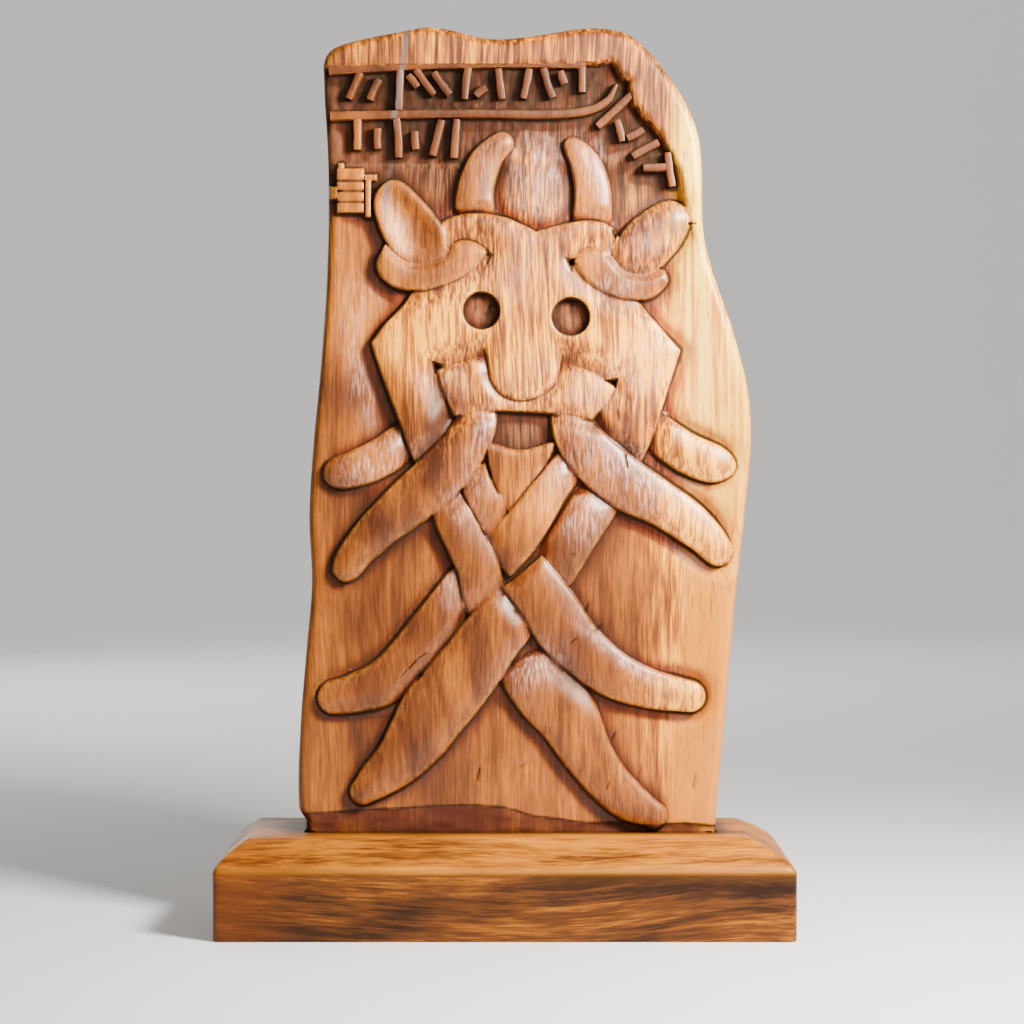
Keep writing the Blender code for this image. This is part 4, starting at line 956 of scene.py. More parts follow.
def plinth_rows(worn):
    """Retreat from the skirt's face, share of the way up the shoulder, and height of each ring."""
    rows = [(0.9, 0.0, 0.0), (0.3, 0.0, 0.2), (0.0, 0.0, 0.8)]
    rows += [(0.0, 0.0, height) for height in (6, 12, 18, 24, SKIRT_TOP - 2.4)]
    rows += [(0.0, 0.0, SKIRT_TOP - worn), (worn * 0.12, 0.0, SKIRT_TOP - worn * 0.45)]
    for step in range(1, 17):
        share = step / 16
        fall = 1 - math.sqrt(1 - share**2 * 0.36)
        rows.append((worn * 0.3 * (1 - share)**6, 0.55 * share + 0.45 * fall / 0.2,
                     SKIRT_TOP + (PLINTH_TOP - SKIRT_TOP) * share))
    return rows


def plinth_ring(retreat, inset, step):
    """Rounded rectangle at one height of the plinth, anticlockwise from above."""
    width, depth = ((PLINTH_HIGH[axis] - PLINTH_LOW[axis]) / MM for axis in (0, 1))
    half_width, half_depth = width / 2 - retreat, depth / 2 - retreat
    corner = 2.5
    left = -half_width + SHOULDER_RUN["left"] * inset + corner
    right = half_width - SHOULDER_RUN["right"] * inset - corner
    front = -half_depth + SHOULDER_RUN["front"] * inset + corner
    back = half_depth - SHOULDER_RUN["back"] * inset - corner
    middles = ((right, back, 0), (left, back, 90), (left, front, 180), (right, front, 270))
    lengths = (width, depth, width, depth)
    ring = []
    for index, (x, y, start) in enumerate(middles):
        angles = [math.radians(start + turn) for turn in (0, 18, 36, 54, 72, 90)]
        arc = [(x + corner * math.cos(angle), y + corner * math.sin(angle)) for angle in angles]
        next_x, next_y, next_start = middles[(index + 1) % 4]
        goal = (next_x + corner * math.cos(math.radians(next_start)),
                next_y + corner * math.sin(math.radians(next_start)))
        pieces = round(lengths[index] / step)
        ring += arc
        ring += [(arc[-1][0] + (goal[0] - arc[-1][0]) * piece / pieces,
                  arc[-1][1] + (goal[1] - arc[-1][1]) * piece / pieces) for piece in range(1, pieces)]
    return np.array(ring)


def plinth_mesh(sizes):
    """Block with an upright skirt, soft sloping shoulders and a blind slot for the slab's foot."""
    worn = sizes.plinth_edge / MM
    rows, arris_highlight_rows = [], []
    for retreat, inset, height in plinth_rows(worn):
        ring = plinth_ring(retreat, inset, 4.0)
        hand = 0.22 * soft_noise(ring + 300, (38, 30), 71) * (1 if 0 < inset < 0.98 else 0)
        rows.append(np.column_stack([ring, height + hand]))
        # Painted highlight along the arris at the top of the skirt.
        arris_highlight_rows.append(np.full(len(ring), math.exp(-((height - SKIRT_TOP) / 1.6)**2)))
    around = len(rows[0])
    faces = []
    for row in range(len(rows) - 1):
        lower = np.arange(around) + row * around
        upper = lower + around
        faces += joined(lower, after(lower), after(upper), upper)
    faces.append(list(range(around))[::-1])
    slot_y = (SLAB_FRONT - FOOT_LEVEL - SLOT_CLEARANCE, SLAB_BACK + SLOT_CLEARANCE)
    mouth = dense(box_outline(SLOT_SIDES[0], SLOT_SIDES[1], slot_y[0], slot_y[1]), 6.0)
    top = rows[-1][:, :2]
    last = (len(rows) - 1) * around
    number, inner = np.arange(around), around + np.arange(len(mouth))
    edges = joined(number, after(number)) + joined(inner, after(inner))
    flat, top_faces = triangles_in(np.vstack([top, mouth]), edges, top)
    top_faces = top_faces[signed_distance(flat[top_faces].mean(axis=1), mouth) < 0]
    count = last + around
    renumber = np.concatenate([last + number, count + np.arange(len(mouth))])
    faces += renumber[top_faces].tolist()
    lip = np.column_stack([mouth, np.full(len(mouth), float(PLINTH_TOP))])
    floor = np.column_stack([mouth, np.full(len(mouth), float(SLAB_FOOT) - 0.3)])
    upper = count + np.arange(len(mouth))
    lower = upper + len(mouth)
    faces += joined(upper, after(upper), after(lower), lower)
    faces.append(lower.tolist())
    points = np.vstack(rows + [lip, floor]) * MM
    edge = np.concatenate(arris_highlight_rows + [np.zeros(2 * len(mouth))])
    # Painted shadow: the top darkened within 3 mm of the slot, where the slab stands.
    gap = np.hypot(np.maximum(np.maximum(SLOT_SIDES[0] - points[:, 0] / MM, points[:, 0] / MM - SLOT_SIDES[1]), 0),
                   np.maximum(np.maximum(slot_y[0] - points[:, 1] / MM, points[:, 1] / MM - slot_y[1]), 0))
    crevice = np.where(points[:, 2] / MM > SKIRT_TOP, np.clip(1 - gap / 3.0, 0, 1), 0)
    return points, faces, {"edge": edge, "crevice": crevice}


# ================================================================ node trees
class NodeBench:
    """Short calls for laying out a tree of nodes."""

    def __init__(self, tree):
        self.tree = tree

    def add(self, kind, inputs=None, **settings):
        """New node with its settings made, then its inputs set or joined by name or number."""
        node = self.tree.nodes.new(kind)
        for key, value in settings.items():
            setattr(node, key, value)
        for key, value in (inputs or {}).items():
            self.put(node.inputs[key], value)
        return node

    def put(self, socket, value):
        if isinstance(value, bpy.types.NodeSocket):
            self.tree.links.new(value, socket)
        elif socket.type == "RGBA":
            socket.default_value = (*value, 1.0)
        else:
            socket.default_value = value

    def maths(self, operation, *terms, clamp=False):
        node = self.add("ShaderNodeMath", dict(enumerate(terms)), operation=operation, use_clamp=clamp)
        return node.outputs[0]

    def plus(self, first, second, clamp=False):
        return self.maths("ADD", first, second, clamp=clamp)

    def minus(self, first, second, clamp=False):
        return self.maths("SUBTRACT", first, second, clamp=clamp)

    def times(self, first, second):
        return self.maths("MULTIPLY", first, second)

    def swing(self, value, amount):
        """How far the value is from its middle, 0.5, times an amount."""
        return self.times(self.minus(value, 0.5), amount)

    def vector(self, operation, *terms):
        return self.add("ShaderNodeVectorMath", dict(enumerate(terms)), operation=operation).outputs["Vector"]

    def sized(self, vector, factor):
        node = self.add("ShaderNodeVectorMath", {0: vector, "Scale": factor}, operation="SCALE")
        return node.outputs["Vector"]

    def parts(self, vector):
        return self.add("ShaderNodeSeparateXYZ", {"Vector": vector}).outputs

    def noise(self, vector, scales, detail=2.0, rough=0.5):
        """Noise between 0 and 1 whose lumps are as long, each way, as one over the scale."""
        inputs = {"Vector": self.vector("MULTIPLY", vector, scales), "Scale": 1.0, "Detail": detail,
                  "Roughness": rough}
        return self.add("ShaderNodeTexNoise", inputs).outputs[0]

    def between(self, value, low, high, out_low=0.0, out_high=1.0):
        inputs = {"Value": value, "From Min": low, "From Max": high, "To Min": out_low, "To Max": out_high}
        return self.add("ShaderNodeMapRange", inputs, interpolation_type="SMOOTHSTEP").outputs["Result"]

    def mix(self, share, below, above, blend="MIX"):
        inputs = {0: share, 6: below, 7: above}
        return self.add("ShaderNodeMix", inputs, data_type="RGBA", blend_type=blend).outputs[2]

    def ramp(self, value, stops):
        """Colour at the value, from stops of place and colour."""
        node = self.add("ShaderNodeValToRGB", {"Fac": value})
        elements = node.color_ramp.elements
        while len(elements) < len(stops):
            elements.new(0.5)
        for element, (place, colour) in zip(elements, stops):
            element.position = place
            element.color = (*colour, 1.0)
        return node.outputs["Color"]

    def attribute(self, name):
        return self.add("ShaderNodeAttribute", attribute_name=name).outputs["Fac"]


def new_group(name, kind, inputs, outputs):
    """Bench for a new tree with those sockets, the values that it is given and the ones that it hands on."""
    tree = bpy.data.node_groups.new(name, kind)
    for label, form, usual in inputs:
        socket = tree.interface.new_socket(label, in_out="INPUT", socket_type="NodeSocket" + form)
        if usual is not None:
            socket.default_value = usual
    for label, form in outputs:
        tree.interface.new_socket(label, in_out="OUTPUT", socket_type="NodeSocket" + form)
    bench = NodeBench(tree)
    return bench, bench.add("NodeGroupInput").outputs, bench.add("NodeGroupOutput").inputs


# ================================================================ bands and strokes by geometry nodes
def bar_lines(sizes):
    """Middle lines of the bands and strokes as one mesh of edges, with the width at each point."""
    points, widths, edges = [], [], []

    def add(line, level):
        first = len(points)
        for x, z, width in line.tolist():
            points.append((x * MM, (SLAB_FRONT - level) * MM, z * MM))
            widths.append(width * MM)
        edges.extend((number, number + 1) for number in range(first, len(points) - 1))

    for band in BANDS:
        add(smooth_run(band, 1.0), BAND_LEVEL)
    draw = np.random.RandomState(17)
    width = sizes.stroke_width / MM
    for x, z, length, lean in STROKES:
        low, top = stroke_ends(x, z, length, lean)
        level = BAND_LEVEL - 0.25 + 0.2 * draw.uniform(-1, 1)
        swell = draw.uniform(0.92, 1.1, 4) * width
        shares = ((0.0, 0.86 * swell[0]), (0.12, swell[0]), (0.4, swell[1]), (0.7, swell[2]), (0.92, swell[3]),
                  (1.0, 0.9 * swell[3]))
        bend = draw.uniform(-0.35, 0.35)
        side = np.array([top[1] - low[1], low[0] - top[0]]) / length
        line = [(*(low + (top - low) * share + side * bend * math.sin(math.pi * share)), wide)
                for share, wide in shares]
        add(np.array(line), level)
    mesh = bpy.data.meshes.new("bar_lines")
    mesh.from_pydata(points, edges, [])
    write_values(mesh, {"width": np.array(widths)})
    return mesh


def bar_tree():
    """Geometry nodes that lay a flat-topped, hand-cut bar along every line of the input."""
    usual = (("Usual width", 3.0), ("Depth", 6.2), ("Eased edge", 0.3), ("Wall flare", 0.8), ("Wobble", 0.5),
             ("Reading step", 0.9))
    inputs = [("Lines", "Geometry", None), *((name, "Float", value * MM) for name, value in usual),
              ("Seed", "Int", 7), ("Material", "Material", None)]
    bench, given, out = new_group("Hand-cut bars", "GeometryNodeTree", inputs, [("Bars", "Geometry")])
    width, depth = given["Usual width"], given["Depth"]
    position = bench.add("GeometryNodeInputPosition").outputs["Position"]
    front = (0.0, -1.0, 0.0)

    def store(geometry, name, value, kind="FLOAT"):
        inputs = {"Geometry": geometry, "Name": name, "Value": value}
        return bench.add("GeometryNodeStoreNamedAttribute", inputs, data_type=kind).outputs["Geometry"]

    def read(name, kind="FLOAT"):
        return bench.add("GeometryNodeInputNamedAttribute", {"Name": name}, data_type=kind).outputs["Attribute"]

    curve = bench.add("GeometryNodeMeshToCurve", {"Mesh": given["Lines"]}).outputs["Curve"]
    inputs = {"Curve": curve, "Length": given["Reading step"]}
    curve = bench.add("GeometryNodeResampleCurve", inputs, mode="LENGTH").outputs["Curve"]
    curve = bench.add("GeometryNodeSetCurveNormal", {"Curve": curve, "Normal": front}, mode="FREE").outputs["Curve"]
    tangent = bench.add("GeometryNodeInputTangent").outputs["Tangent"]
    rail = store(curve, "across", bench.vector("CROSS_PRODUCT", tangent, front), "FLOAT_VECTOR")

    inputs = {"Width": depth, "Height": width}
    section = bench.add("GeometryNodeCurvePrimitiveQuadrilateral", inputs, mode="RECTANGLE").outputs["Curve"]
    inputs = {"Curve": section, "Count": 2, "Radius": given["Eased edge"]}
    section = bench.add("GeometryNodeFilletCurve", inputs, mode="POLY").outputs["Curve"]
    section_x, section_y, _ = bench.parts(position)
    half_depth = bench.times(depth, 0.5)
    section = store(section, "side", bench.maths("DIVIDE", section_y, bench.times(width, 0.5)))
    section = store(section, "down", bench.maths("DIVIDE", bench.minus(half_depth, section_x), depth))
    shift = bench.add("ShaderNodeCombineXYZ", {"X": bench.times(half_depth, -1.0)}).outputs["Vector"]
    section = bench.add("GeometryNodeTransform", {"Geometry": section, "Translation": shift}).outputs["Geometry"]

    inputs = {"Curve": rail, "Profile Curve": section, "Fill Caps": True}
    bars = bench.add("GeometryNodeCurveToMesh", inputs).outputs["Mesh"]
    inputs = {"Vector": position, "W": given["Seed"], "Scale": 330.0, "Detail": 2.0}
    wobble = bench.add("ShaderNodeTexNoise", inputs, noise_dimensions="4D").outputs[0]
    wobble = bench.swing(wobble, given["Wobble"])
    extra = bench.times(bench.minus(read("width"), width), 0.5)
    flare = bench.times(read("down"), given["Wall flare"])
    outward = bench.times(read("side"), bench.plus(bench.plus(extra, flare), wobble))
    spread = bench.sized(read("across", "FLOAT_VECTOR"), outward)
    top_only = bench.minus(1.0, bench.maths("MINIMUM", bench.times(read("down"), 4.0), 1.0))
    rise = bench.add("ShaderNodeCombineXYZ", {"Y": bench.times(wobble, bench.times(top_only, 0.8))}).outputs["Vector"]
    inputs = {"Geometry": bars, "Offset": bench.vector("ADD", spread, rise)}
    bars = bench.add("GeometryNodeSetPosition", inputs).outputs["Geometry"]
    # Paler top corners as wear and a painted highlight, and painted shade darkening each bar towards its foot.
    corner = bench.times(bench.maths("GREATER_THAN", bench.maths("ABSOLUTE", read("side")), 0.84),
                         bench.maths("LESS_THAN", read("down"), 0.045))
    bars = store(bars, "edge", bench.times(corner, 0.8))
    bars = store(bars, "crevice", bench.times(bench.minus(read("down"), 0.1), 1.15))
    bars = store(bars, "hollow", bench.times(read("down"), 0.7))
    for name in ("side", "down", "across", "width"):
        bars = bench.add("GeometryNodeRemoveAttribute", {"Geometry": bars, "Name": name}).outputs["Geometry"]
    bars = bench.add("GeometryNodeRealizeInstances", {"Geometry": bars}).outputs["Geometry"]
    inputs = {"Geometry": bars, "Material": given["Material"]}
    bench.put(out["Bars"], bench.add("GeometryNodeSetMaterial", inputs).outputs["Geometry"])
    return bench.tree


def grown_mesh(name, seed_mesh, tree, inputs):
    """Plain mesh that a geometry node tree makes from the seed mesh."""
    holder = placed(name + "_lines", seed_mesh)
    modifier = holder.modifiers.new("Bars", "NODES")
    modifier.node_group = tree
    for item in tree.interface.items_tree:
        if item.item_type == "SOCKET" and item.in_out == "INPUT" and item.name in inputs:
            modifier[item.identifier] = inputs[item.name]
    graph = bpy.context.evaluated_depsgraph_get()
    graph.update()
    made = bpy.data.meshes.new_from_object(holder.evaluated_get(graph), depsgraph=graph)
    made.name = name
    holder.modifiers.remove(modifier)
    bpy.data.objects.remove(holder)
    return made


# ================================================================ materials
SHINE_TINT = (1.0, 0.66, 0.38)
SAP_EDGE = (0.0720, 0.0800)            # where the sapwood starts and is full, measured to the right
VEIN_PLACE = (-0.0435, -0.0520)        # the vein's place across the board, at its top and lower down
VEIN_HALF_WIDTH = 0.0020
SKIRT_FADE = (0.0325, 0.0300)          # heights between which the shoulder's painted light gives way to the skirt's darker brown


def timber_group():
    """Shader group: figure, streaks and pores of a board whose grain runs along Z of the vector it is given."""
    inputs = (("Position", "Vector", None), ("Figure width", "Float", 0.016), ("Sway", "Float", 0.012))
    outputs = [(name, "Float") for name in ("Figure", "Streaks", "Pores", "Mottle")]
    bench, given, out = new_group("Timber grain", "ShaderNodeTree", inputs, outputs)
    position = given["Position"]
    inputs = {"Vector": bench.vector("MULTIPLY", position, (14.0, 14.0, 7.0)), "Scale": 1.0, "Detail": 0.0}
    swayed = bench.add("ShaderNodeTexNoise", inputs).outputs["Color"]
    swayed = bench.sized(bench.vector("SUBTRACT", swayed, (0.5, 0.5, 0.5)), given["Sway"])
    board = bench.vector("ADD", position, swayed)
    drawn_in = bench.sized(board, bench.maths("DIVIDE", 1.0, given["Figure width"]))
    figure = bench.noise(drawn_in, (1.0, 0.6, 0.12), 2.0, 0.55)
    fine = bench.noise(board, (1050.0, 900.0, 62.0), 2.0, 0.55)
    broad = bench.noise(board, (330.0, 260.0, 16.0), 1.0)
    both = bench.plus(bench.times(fine, 0.62), bench.times(broad, 0.38))
    dash = bench.between(bench.noise(position, (1100.0, 1100.0, 150.0), 0.0), 0.60, 0.74)
    where = bench.between(bench.noise(position, (260.0, 260.0, 70.0), 1.0), 0.40, 0.62)
    bench.put(out["Figure"], bench.between(figure, 0.28, 0.72))
    bench.put(out["Streaks"], bench.between(both, 0.33, 0.67))
    bench.put(out["Pores"], bench.times(dash, where))
    bench.put(out["Mottle"], bench.noise(position, (60.0, 60.0, 34.0), 3.0, 0.6))
    return bench.tree


def shade_and_wear_group():
    """Shader group: painted shade in the corners, along each form's foot and in the hollows, with dark stain and
    gathered polish, and edges made pale by wear and as a painted highlight.
    """
    inputs = [("Position", "Vector", None)] + [(name, "Float", None) for name in ("Crevice", "Hollow", "Edge", "Foot_shade_line")]
    outputs = [(name, "Float") for name in ("Corner_stain_and_shade", "Shade", "Wear_and_highlight")]
    bench, given, out = new_group("Polish, shade and wear", "ShaderNodeTree", inputs, outputs)
    patchy = bench.noise(given["Position"], (150.0, 150.0, 110.0), 2.0, 0.6)
    fine = bench.noise(given["Position"], (620.0, 620.0, 300.0), 0.0)
    lift = bench.swing(patchy, 0.55)
    # Painted shade, with dark stain, in the corners.
    corner = bench.between(bench.plus(given["Crevice"], lift), 0.18, 0.70)
    # Painted shade line along each form's foot.
    line = bench.times(bench.between(bench.plus(given["Foot_shade_line"], lift), 0.10, 0.60), 0.92)
    bench.put(out["Corner_stain_and_shade"], bench.maths("MAXIMUM", corner, line))
    # Painted shade in the hollows, with gathered polish.
    soft = bench.plus(given["Hollow"], bench.times(lift, 0.4))
    bench.put(out["Shade"], bench.between(soft, 0.05, 0.95))
    # Worn edges, which also stand in as a painted highlight.
    rubbed = bench.times(given["Edge"], bench.between(fine, 0.32, 0.62))
    bench.put(out["Wear_and_highlight"], bench.times(rubbed, bench.between(patchy, 0.30, 0.60)))
    return bench.tree


def new_material(name):
    material = bpy.data.materials.new(name)
    material.use_nodes = True
    shader = next(node for node in material.node_tree.nodes if node.type == "BSDF_PRINCIPLED")
    return material, NodeBench(material.node_tree), shader


def grain_of(bench, position, figure_width, sway):
    """The shared timber grain at that place, with its own figure."""
    tree = bpy.data.node_groups.get("Timber grain") or timber_group()
    inputs = {"Position": position, "Figure width": figure_width, "Sway": sway}
    return bench.add("ShaderNodeGroup", inputs, node_tree=tree).outputs


def finish_wood(bench, shader, height, rise, strength, **sockets):
    """Set the shader's sockets, tint its shine and raise the height as fine bumps."""
    bump = bench.add("ShaderNodeBump", {"Height": height, "Distance": rise, "Strength": strength})
    sockets.update(Specular_Tint=SHINE_TINT, Normal=bump.outputs["Normal"])
    for name, value in sockets.items():
        bench.put(shader.inputs[name.replace("_", " ")], value)


def slab_timber(colours):
    """Oiled heartwood with a sapwood edge, painted shade with dark stain in every corner, painted shade and shadow with
    gathered polish in the hollows, worn edges that carry a painted highlight, and painted sheen and light in places.
    """
    material, bench, shader = new_material("oiled_heartwood")
    position = bench.add("ShaderNodeTexCoord").outputs["Object"]
    x, _, z = bench.parts(position)
    grain = grain_of(bench, position, 0.022, 0.010)
    # The values for painted shade, stain, polish and wear with painted highlight, stored at the mesh's points.
    worn = {name: bench.attribute(name.lower()) for name in ("Crevice", "Hollow", "Edge", "Foot_shade_line")}
    shade_and_wear = bench.add("ShaderNodeGroup", {"Position": position, **worn}, node_tree=shade_and_wear_group()).outputs
    tone = bench.swing(grain["Figure"], 0.20)
    tone = bench.plus(tone, bench.swing(grain["Streaks"], bench.times(bench.attribute("grain"), 0.88)))
    tone = bench.plus(tone, bench.swing(grain["Mottle"], 0.44))
    slant = bench.add("ShaderNodeVectorRotate", {"Vector": position, "Angle": math.radians(14)},
                      rotation_type="Y_AXIS").outputs["Vector"]
    stripes = bench.swing(bench.between(bench.noise(slant, (150.0, 60.0, 9.0), 1.0), 0.36, 0.62), 0.20)
    tone = bench.plus(tone, bench.times(stripes, bench.attribute("figured")))
    # The tone patches add painted light and shade as well as the board's own tone.
    tone = bench.plus(bench.plus(tone, bench.attribute("tone")), 0.40, clamp=True)
    colour = bench.ramp(tone, ((0.0, colours.heart_black), (0.25, colours.heart_dark), (0.50, colours.heart_mid),
                               (0.75, colours.heart_light), (1.0, colours.heart_gold)))
    raw = bench.attribute("raw")
    # The dull unpolished ground, also painted dark as shade in these recesses.
    raw_and_shade_colour = bench.mix(bench.between(tone, 0.15, 0.85), colours.dark_raw_and_shade, colours.raw_ground)
    colour = bench.mix(bench.times(raw, 0.85), colour, raw_and_shade_colour)

    edge_x = bench.plus(x, bench.swing(grain["Figure"], 0.008))
    sap = bench.times(bench.between(edge_x, *SAP_EDGE), bench.attribute("sap"))
    sap_colour = bench.mix(bench.between(z, 0.30, 0.12), colours.sapwood, colours.heart_light)
    coarse = bench.noise(position, (430.0, 300.0, 13.0), 2.0, 0.6)
    sap_colour = bench.mix(bench.between(coarse, 0.42, 0.66), sap_colour, colours.heart_light)
    colour = bench.mix(bench.times(sap, 0.90), colour, sap_colour)
    # Painted highlight: whitish flecks of sheen in the glint areas.
    fleck = bench.between(bench.noise(position, (950.0, 950.0, 130.0)), 0.46, 0.62, 0.08, 0.62)
    colour = bench.mix(bench.times(bench.attribute("glint"), fleck), colour, colours.painted_sheen)

    drift = bench.swing(bench.noise(position, (9.0, 9.0, 22.0), 1.0), 0.006)
    vein_x = bench.plus(drift, bench.between(z, 0.400, 0.340, *VEIN_PLACE))
    vein_gap = bench.maths("ABSOLUTE", bench.minus(x, vein_x))
    vein = bench.times(bench.between(vein_gap, VEIN_HALF_WIDTH, 0.0003), bench.between(z, 0.306, 0.322))
    colour = bench.mix(bench.times(vein, 0.75), colour, colours.mineral)
    colour = bench.mix(bench.times(grain["Pores"], 0.42), colour, colours.pore)
    # Painted shade, with gathered polish, multiplied into the colour in the hollows; weaker on the sapwood.
    shade = bench.times(shade_and_wear["Shade"], bench.maths("MULTIPLY_ADD", sap, -0.30, 0.95))
    colour = bench.mix(shade, colour, colours.polish_and_shade, "MULTIPLY")
    strip = bench.times(bench.attribute("strip"), bench.between(grain["Mottle"], 0.30, 0.52, 0.55, 1.0))
    colour = bench.mix(bench.times(strip, 0.92), colour, colours.strip)
    # Painted shade and stain in the corners and along each form's foot.
    colour = bench.mix(bench.times(shade_and_wear["Corner_stain_and_shade"], 0.94), colour, colours.stain_and_shade)
    colour = bench.mix(bench.attribute("mark"), colour, colours.stain_and_shade)
    # Worn edges made paler, also a painted highlight.
    colour = bench.mix(bench.times(shade_and_wear["Wear_and_highlight"], 0.22), colour, colours.worn)

    matt = bench.maths("MAXIMUM", shade_and_wear["Corner_stain_and_shade"], bench.maths("MAXIMUM", raw, strip))
    rough = bench.plus(bench.times(grain["Mottle"], 0.22), 0.34)
    rough = bench.plus(rough, bench.times(matt, 0.30), clamp=True)
    coat = bench.minus(colours.gloss, bench.times(matt, colours.gloss * 0.9), clamp=True)
    dimple = bench.noise(position, (330.0, 330.0, 210.0), 0.0)
    height = bench.plus(bench.times(grain["Streaks"], 0.34), bench.times(dimple, 0.55))
    finish_wood(bench, shader, height, 0.0003, 0.55, Base_Color=colour, Roughness=rough, Coat_Weight=coat,
                Coat_Roughness=0.24, Specular_IOR_Level=0.36)
    return material


def plinth_timber(colours):
    """Dark figured block whose grain runs along its length, painted golden and lighter on the shoulders where light
    falls, with a painted highlight along the skirt's top arris and painted shadow round the slot.
    """
    material, bench, shader = new_material("figured_plinth_wood")
    place = bench.add("ShaderNodeTexCoord").outputs["Object"]
    x, _, z = bench.parts(place)
    turned = bench.add("ShaderNodeMapping", {"Vector": place, "Rotation": (0.0, math.radians(90), 0.0)})
    grain = grain_of(bench, turned.outputs["Vector"], 0.011, 0.018)
    tone = bench.swing(grain["Figure"], 0.34)
    tone = bench.plus(tone, bench.swing(grain["Streaks"], 0.34))
    tone = bench.plus(tone, bench.swing(grain["Mottle"], 0.20))
    skirt = bench.between(z, *SKIRT_FADE)
    # Painted light: the shoulders lighter and more golden than the skirt.
    tone = bench.plus(tone, bench.minus(0.70, bench.times(skirt, 0.28)))
    # The dark heart rises along the skirt from the lower left to just under the right shoulder.
    rise = bench.between(x, -0.105, 0.060, 0.003, 0.026)
    rise = bench.plus(rise, bench.swing(bench.noise(place, (20.0, 20.0, 40.0), 3.0), 0.020))
    heart = bench.between(bench.maths("ABSOLUTE", bench.minus(z, rise)), 0.012, 0.002)
    tone = bench.minus(tone, bench.times(bench.times(heart, skirt), 0.30), clamp=True)
    colour = bench.ramp(tone, ((0.0, colours.stain_and_shade), (0.22, colours.plinth_dark), (0.48, colours.plinth_brown),
                               (0.74, colours.plinth_gold), (1.0, colours.plinth_pale)))
    colour = bench.mix(bench.times(bench.between(x, -0.085, -0.120), 0.35), colour, colours.plinth_red)
    colour = bench.mix(bench.times(grain["Pores"], 0.30), colour, colours.pore)
    # Painted shadow round the slab's foot, in the stain colour.
    crevice = bench.between(bench.attribute("crevice"), 0.25, 1.0)
    colour = bench.mix(bench.times(crevice, 0.85), colour, colours.stain_and_shade)
    # Painted highlight along the skirt's top arris, stronger to the right.
    rubbed = bench.times(bench.attribute("edge"), bench.between(x, -0.12, -0.02, 0.35, 0.60))
    colour = bench.mix(rubbed, colour, colours.plinth_pale)
    rough = bench.plus(bench.times(grain["Mottle"], 0.20), 0.26, clamp=True)
    coat = bench.maths("MULTIPLY_ADD", grain["Pores"], colours.gloss * -0.15, colours.gloss * 0.3)
    finish_wood(bench, shader, bench.times(grain["Streaks"], 0.35), 0.0002, 0.45, Base_Color=colour,
                Roughness=rough, Coat_Weight=coat, Coat_Roughness=0.20, Specular_IOR_Level=0.22)
    return material


def floor_paint(colours):
    """Plain pale studio floor."""
    material, bench, shader = new_material("pale_floor")
    bench.put(shader.inputs["Base Color"], colours.floor)
    bench.put(shader.inputs["Roughness"], 0.8)
    return material


# ================================================================ the stage
# Name, place, point it looks at, width and height, power and colour of each light.
LIGHTS = (
    ("key", (0.32, -0.32, 0.44), (0.04, -0.02, 0.21), (0.15, 0.12), 14.2, (1.0, 0.99, 0.97)),
    ("fill", (-0.8, -1.2, 0.45), (0.0, 0.0, 0.2), (0.8, 0.8), 0.8, (1.0, 0.97, 0.94)),
    ("back", (-0.7, 1.1, 0.8), (0.0, 0.0, 0.2), (0.8, 0.8), 9.0, (1.0, 0.98, 0.95)),
    ("wall", (0.0, 0.9, 1.3), (0.0, 3.0, 0.5), (1.6, 0.6), 26.0, (1.0, 1.0, 1.0)),
    ("sheen", (0.30, -0.90, 0.62), (0.0, -0.02, 0.24), (0.70, 0.45), 8.0, (0.90, 0.94, 1.0)),
)


def area_light(name, place, aim, size, power, colour):
    """Rectangular soft light that looks at a point, unseen by the camera itself."""
    lamp = bpy.data.lights.new(name, "AREA")
    lamp.shape = "RECTANGLE"
    lamp.size, lamp.size_y = size
    lamp.energy = power
    lamp.color = colour
    holder = placed(name, lamp)
    holder.location = place
    holder.rotation_euler = (Vector(aim) - Vector(place)).to_track_quat("-Z", "Y").to_euler()
    holder.visible_camera = False
    return holder


def studio_bowl(level_radius):
    """Round floor that curves up into a plain wall all round: points and faces, looking inward."""
    rise = level_radius * 0.6
    profile = [(level_radius * share, 0.0) for share in (0.15, 0.4, 0.7, 1.0)]
    profile += [(level_radius + rise * math.sin(turn), rise * (1 - math.cos(turn)))
                for turn in (math.radians(degrees) for degrees in range(6, 91, 6))]
    profile.append((level_radius + rise, rise * 3))
    around = 96
    points = [(0.0, 0.0, 0.0)]
    for radius, height in profile:
        points += [(radius * math.cos(2 * math.pi * step / around), radius * math.sin(2 * math.pi * step / around),
                    height) for step in range(around)]
    faces = [(0, 1 + step, 1 + (step + 1) % around) for step in range(around)]
    for row in range(len(profile) - 1):
        inner, outer = 1 + row * around, 1 + (row + 1) * around
        faces += [(inner + step, outer + step, outer + (step + 1) % around, inner + (step + 1) % around)
                  for step in range(around)]
    return points, faces


# ================================================================ settings
def length(name, description, default, low, high):
    return FloatProperty(name=name, description=description, default=default, min=low, max=high, unit="LENGTH",
                         precision=5)


def tint(name, description, default):
    return FloatVectorProperty(name=name, description=description, default=default, min=0.0, max=1.0, size=3,
                               subtype="COLOR")


